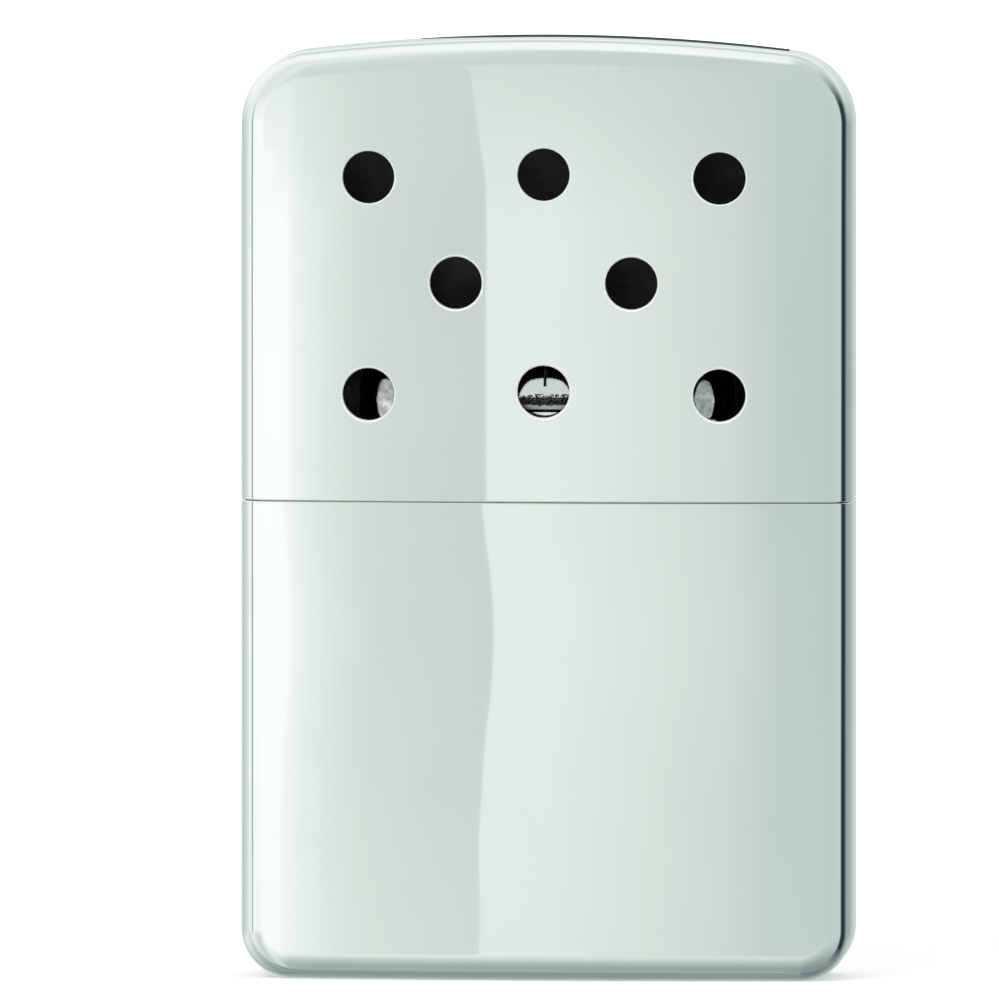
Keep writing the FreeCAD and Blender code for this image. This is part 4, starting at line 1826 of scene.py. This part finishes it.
@dataclass
class Studio:
    """Camera, lamps, floor and a tent of cards that only polished metal shows.

    The tent's cards are rows of edges, each with its angle in degrees and how bright it looks.
    """

    azimuth: float = 4.1
    elevation: float = 3.7
    distance: float = 2.4
    view_height: float = 83.61
    sensor: float = 36.0
    aim: Range = (-4.14, 39.70)
    lamps: tuple[tuple[str, Point, float], ...] = (
        ("key", (-0.7, -0.9, 1.1), 9.0), ("fill", (1.0, -0.5, 0.8), 5.0),
        ("rear", (0.2, 1.1, 1.0), 5.0))
    lamp_size: float = 0.9
    sky: Colour = (0.97, 0.985, 1.0)
    sky_level: float = 0.6
    floor_half: float = 6.0
    floor_z: float = -2e-5
    floor_near: Range = (0.08, 0.9)
    floor_glow: Range = (0.3, 0.9)
    floor_tones: tuple[Colour, Colour] = ((0.80, 0.80, 0.80), (0.83, 0.83, 0.83))
    tent_radius: float = 2.0
    tent_level: float = 1.08
    low_rise: Range = (-14.0, -4.0)
    high_rise: Range = (-2.0, 22.0)
    zenith_rise: Range = (73.0, 86.0)
    zenith: float = 0.95
    cards: Cards = (
        (-180, 0.64), (-165, 0.64), (-125, 0.61), (-105, 0.68),
        (-92, 0.82), (-84, 0.92), (-76, 0.93), (-73.5, 0.40), (-69, 0.40),
        (-66, 0.99), (-50, 0.99), (-27, 1.0), (-15, 1.0), (10, 0.60),
        (40, 0.60), (78, 0.64), (115, 0.52), (121, 0.38), (166, 0.46),
        (175, 0.58), (180, 0.64))
    near_cards: Cards = (
        (-18, 1.0), (-14.95, 1.0), (-14.7, 0.92), (-14.0, 0.855),
        (-13.4, 0.82), (-12.5, 0.765), (-11.3, 0.715), (-10.1, 0.70),
        (-6.4, 0.67), (-3.5, 0.665), (0, 0.605), (4, 0.53), (6, 0.45),
        (10, 0.43))
    low_cards: Cards = (
        (-180, 0.62), (-165, 0.80), (-140, 0.62), (-112, 0.84),
        (-88, 0.70), (-70, 0.90), (-58, 0.74), (-46, 0.66), (-36, 0.78), (-26, 0.96), (-14, 0.92),
        (-7, 0.80), (7, 0.68), (22, 0.64), (40, 0.62),
        (62, 0.62), (85, 0.56), (124, 0.45), (150, 0.60), (180, 0.62))
    high_cards: Cards = (
        (-180, 0.94), (-110, 0.93), (-85, 0.88), (-60, 0.79), (-28, 0.82),
        (-15, 0.72), (0, 0.64), (40, 0.62), (80, 0.64), (115, 0.66),
        (150, 0.80), (180, 0.94))
    curtain: Cards = (
        (70, 1.0), (79.5, 1.0), (82.5, 0.42), (86.5, 0.11), (92, 0.04),
        (98, 0.06), (104, 0.19), (110, 0.45), (117, 0.85), (125, 1.0))
    curtain_ends: Ends = (-56, -26, 20, 54)
    flag_y: float = 15.0
    flag_span: Range = (-13.0, 19.3)
    flag_low: float = -0.3
    flag_high: float = 0.9
    flag_taper: float = 8.0
    near_ends: Ends = (-17.5, -16.5, 9.0, 10.0)
    step_angle: float = -6.4
    step_blur: float = 0.04
    step_rise: float = 0.17
    step_lean: float = 0.0714
    step_bend: float = 2.0
    front_heights: Cards = (
        (-90, 0.42), (-60, 0.49), (-45, 0.62), (-30, 0.83), (-17, 1.0),
        (90, 1.0))
    back_heights: Cards = (
        (-90, 0.42), (-66, 0.42), (-20, 1.0), (90, 1.0))
    behind_turn: Range = (80.0, 100.0)
    aside_turn: Range = (-35.0, -18.0)
    aside_swing: Range = (70.0, 74.0)
    aside_share: float = 0.8
    rear_dip: Ends = (26, 42, 50, 62)
    rear_dip_turn: Range = (130.0, 165.0)
    rear_dip_depth: float = 0.28

    def camera(self) -> None:
        """Places the long-lens camera."""
        a, e = math.radians(self.azimuth), math.radians(self.elevation)
        right = Vector((math.cos(a), math.sin(a), 0))
        up = Vector((-math.sin(a) * math.sin(e), math.cos(a) * math.sin(e), math.cos(e)))
        back = Vector((math.sin(a) * math.cos(e), -math.cos(a) * math.cos(e), math.sin(e)))
        target = (right * self.aim[0] + up * self.aim[1]) * MM
        data = bpy.data.cameras.new("camera")
        data.sensor_width = self.sensor
        data.lens = self.sensor * self.distance / (self.view_height * MM)
        data.clip_start, data.clip_end = 0.1, 30.0
        camera = bpy.data.objects.new("camera", data)
        camera.location = target + back * self.distance
        camera.rotation_mode = "QUATERNION"
        camera.rotation_quaternion = (-back).to_track_quat("-Z", "Y")
        bpy.context.scene.collection.objects.link(camera)
        bpy.context.scene.camera = camera

    def lamp(self, name: str, place: Point, energy: float) -> None:
        """Adds a soft square lamp that points at the object.

        Args:
            name: Name of the lamp.
            place: Where it stands, in metres.
            energy: Power in watts.
        """
        data = bpy.data.lights.new(name, "AREA")
        data.size, data.energy = self.lamp_size, energy
        lamp = bpy.data.objects.new(name, data)
        lamp.location = place
        aim = Vector((0, 0, 0.04)) - Vector(place)
        lamp.rotation_euler = aim.to_track_quat("-Z", "Y").to_euler()
        lamp.visible_glossy = False
        bpy.context.scene.collection.objects.link(lamp)

    def world(self) -> None:
        """White surroundings for the camera and for reflections, softer for everything else."""
        world = bpy.data.worlds.new("studio")
        world.use_nodes = True
        graph = Nodes(world.node_tree)
        soft = graph.add("ShaderNodeBackground", {"Color": (*self.sky, 1.0),
                                                  "Strength": self.sky_level})
        white = graph.add("ShaderNodeBackground", {"Color": (1.0, 1.0, 1.0, 1.0)})
        mix = graph.add("ShaderNodeMixShader", {0: graph.seen(), 1: soft.outputs[0],
                                                2: white.outputs[0]})
        graph.add("ShaderNodeOutputWorld", {"Surface": mix.outputs[0]})
        bpy.context.scene.world = world

    @staticmethod
    def set_up(name: str, mesh: bpy.types.Mesh, finish: Material, *hidden: str) -> Piece:
        """Adds an object of the studio.

        Args:
            name: Its name.
            mesh: Its mesh, in metres.
            finish: Its material.
            *hidden: Kinds of ray that don't see it.

        Returns:
            The object.
        """
        mesh.materials.append(finish)
        item = bpy.data.objects.new(name, mesh)
        for kind in hidden:
            setattr(item, "visible_" + kind, False)
        bpy.context.scene.collection.objects.link(item)
        return item

    def card(self, name: str, mesh: bpy.types.Mesh, finish: Material) -> Piece:
        """Adds a card that only reflections show."""
        return self.set_up(name, mesh, finish, "camera", "diffuse", "shadow", "transmission",
                           "volume_scatter")

    def floor(self) -> None:
        """Plain white floor that keeps the object's shadow."""
        half, z = self.floor_half, self.floor_z
        mesh = bpy.data.meshes.new("floor")
        mesh.from_pydata([(-half, -half, z), (half, -half, z), (half, half, z), (-half, half, z)],
                         [], [(0, 1, 2, 3)])
        graph = Graph("floor_white")
        tone = graph.blend(graph.noise((2.0, 2.0, 2.0), 3.0, 0.5), *self.floor_tones)
        plain = graph.add("ShaderNodeBsdfDiffuse", {"Color": tone})
        away = graph.add("ShaderNodeVectorMath", {0: graph.place}, operation="LENGTH")
        lift = graph.spread(away.outputs["Value"], *self.floor_near, *self.floor_glow)
        glow = graph.add("ShaderNodeEmission", {"Color": (1.0, 1.0, 1.0, 1.0),
                                                "Strength": graph.times(graph.seen(), lift)})
        finish = graph.close("ShaderNodeAddShader", {0: plain.outputs[0], 1: glow.outputs[0]})
        self.set_up("floor", mesh, finish, "glossy")

    def tent(self) -> None:
        """Tent of cards: a sphere whose glow depends on the direction from the object."""
        mesh = bpy.data.meshes.new("tent")
        work = bmesh.new()
        bmesh.ops.create_uvsphere(work, u_segments=96, v_segments=48, radius=self.tent_radius)
        work.to_mesh(mesh)
        work.free()
        graph = Graph("tent_cards")
        x, y, z = graph.parts(graph.place)
        ahead = graph.times(y, -1.0)
        length = graph.add("ShaderNodeVectorMath", {0: graph.place}, operation="LENGTH"
                           ).outputs["Value"]
        turn = graph.degrees("ARCTAN2", x, ahead)
        rise = graph.degrees("ARCSINE", graph.math("DIVIDE", z, length))
        swing = graph.degrees("ARCCOSINE", graph.math("DIVIDE", ahead, length))
        away = graph.math("ABSOLUTE", turn)
        level = graph.times(self.brightness(graph, x, turn, rise, swing),
                            self.dimming(graph, turn, away, rise, swing))
        light = graph.math("MULTIPLY", level, 4.0, clamp=True)
        colour = graph.ramp(light, [(0.0, (0.0, 0.0, 0.0)), (0.04, (0.025, 0.04, 0.052)),
                                    (0.40, (0.335, 0.40, 0.385)), (0.60, (0.517, 0.60, 0.558)),
                                    (0.84, (0.795, 0.84, 0.805)), (1.0, (0.985, 1.0, 0.992))])
        self.card("tent", mesh, graph.close("ShaderNodeEmission", {"Color": colour,
                                                                   "Strength": self.tent_level}))

    def brightness(self, graph: Graph, x: Socket, turn: Socket, rise: Socket,
                   swing: Socket) -> Socket:
        """Brightness of the cards round the object, over and under it, and of the curtain.

        Args:
            graph: Material of the tent.
            x: X of the place on the tent.
            turn: Angle to the right of straight ahead, seen from above.
            rise: Angle above the horizon.
            swing: Angle away from straight ahead.

        Returns:
            Output socket with half the brightness.
        """
        above = graph.math("MAXIMUM", graph.math("SUBTRACT", rise, self.step_bend), 0.0)
        leaned = graph.math("ADD", turn, graph.times(above, self.step_lean))
        step = graph.spread(leaned, self.step_angle - self.step_blur,
                            self.step_angle + self.step_blur, 0.0, self.step_rise / 2)
        near = graph.blend(1.0, graph.row(turn, self.near_cards), step, "ADD")
        level = graph.blend(graph.window(turn, self.near_ends), graph.row(turn, self.cards), near)
        level = graph.blend(graph.spread(rise, *self.low_rise, 1.0, 0.0), level,
                            graph.row(turn, self.low_cards))
        level = graph.blend(graph.spread(rise, *self.high_rise), level,
                            graph.row(turn, self.high_cards))
        level = graph.blend(graph.spread(rise, *self.zenith_rise), level, (self.zenith / 2,) * 3)
        hung = graph.times(graph.window(rise, self.curtain_ends),
                           graph.math("GREATER_THAN", x, 0.0))
        dark = graph.blend(hung, (0.5,) * 3, graph.row(swing, self.curtain))
        return graph.blend(1.0, level, graph.blend(1.0, dark, dark, "ADD"), "MULTIPLY")

    def dimming(self, graph: Graph, turn: Socket, away: Socket, rise: Socket,
                swing: Socket) -> Socket:
        """Share of the brightness that is left at each height.

        Args:
            graph: Material of the tent.
            turn: Angle to the right of straight ahead, seen from above.
            away: The same angle, to either side.
            rise: Angle above the horizon.
            swing: Angle away from straight ahead.

        Returns:
            Output socket with half the share.
        """
        height = graph.blend(graph.spread(away, *self.behind_turn),
                             graph.row(rise, self.front_heights),
                             graph.row(rise, self.back_heights))
        aside = graph.times(graph.spread(turn, *self.aside_turn, self.aside_share, 0.0),
                            graph.spread(swing, *self.aside_swing, 1.0, 0.0))
        height = graph.blend(aside, height, (0.5,) * 3)
        dip = graph.times(graph.window(rise, self.rear_dip),
                          graph.spread(away, *self.rear_dip_turn, 0.0, self.rear_dip_depth))
        return graph.times(height, graph.math("SUBTRACT", 1.0, dip))

    def flag(self) -> None:
        """Small black flag close behind the lid's top, which only the top's far edge shows."""
        across = np.linspace(*self.flag_span, 13)
        arch = FORM.height - FORM.arch + np.sqrt(FORM.arch ** 2 - across ** 2)
        points = []
        for x, z in zip(across.tolist(), arch.tolist()):
            high = self.flag_high * min(1.0, (x - self.flag_span[0]) / self.flag_taper)
            points += [(x * MM, self.flag_y * MM, (z + self.flag_low) * MM),
                       (x * MM, self.flag_y * MM, (z + high) * MM)]
        mesh = bpy.data.meshes.new("flag")
        mesh.from_pydata(points, [], [(k, k + 2, k + 3, k + 1)
                                      for k in range(0, len(points) - 2, 2)])
        cloth = Graph("flag_black").close("ShaderNodeEmission", {"Color": (0.06, 0.075, 0.08, 1.0)})
        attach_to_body(self.card("flag", mesh, cloth), Body.LID.value)

    def build(self) -> None:
        """Sets up the camera, the lamps, the floor, the tent and the flag."""
        scene = bpy.context.scene
        scene.view_settings.view_transform = "Standard"
        self.camera()
        self.world()
        self.floor()
        self.tent()
        self.flag()
        for name, place, energy in self.lamps:
            self.lamp(name, place, energy)


# ------------------------------------------------------------------ main

def main() -> None:
    """Builds the warmer piece by piece, then the studio."""
    logging.basicConfig(level=logging.INFO, format="%(name)s: %(message)s")
    for assembly in (Lid(), Tank(), Burner(), Studio()):
        assembly.build()


if __name__ == "__main__":
    main()
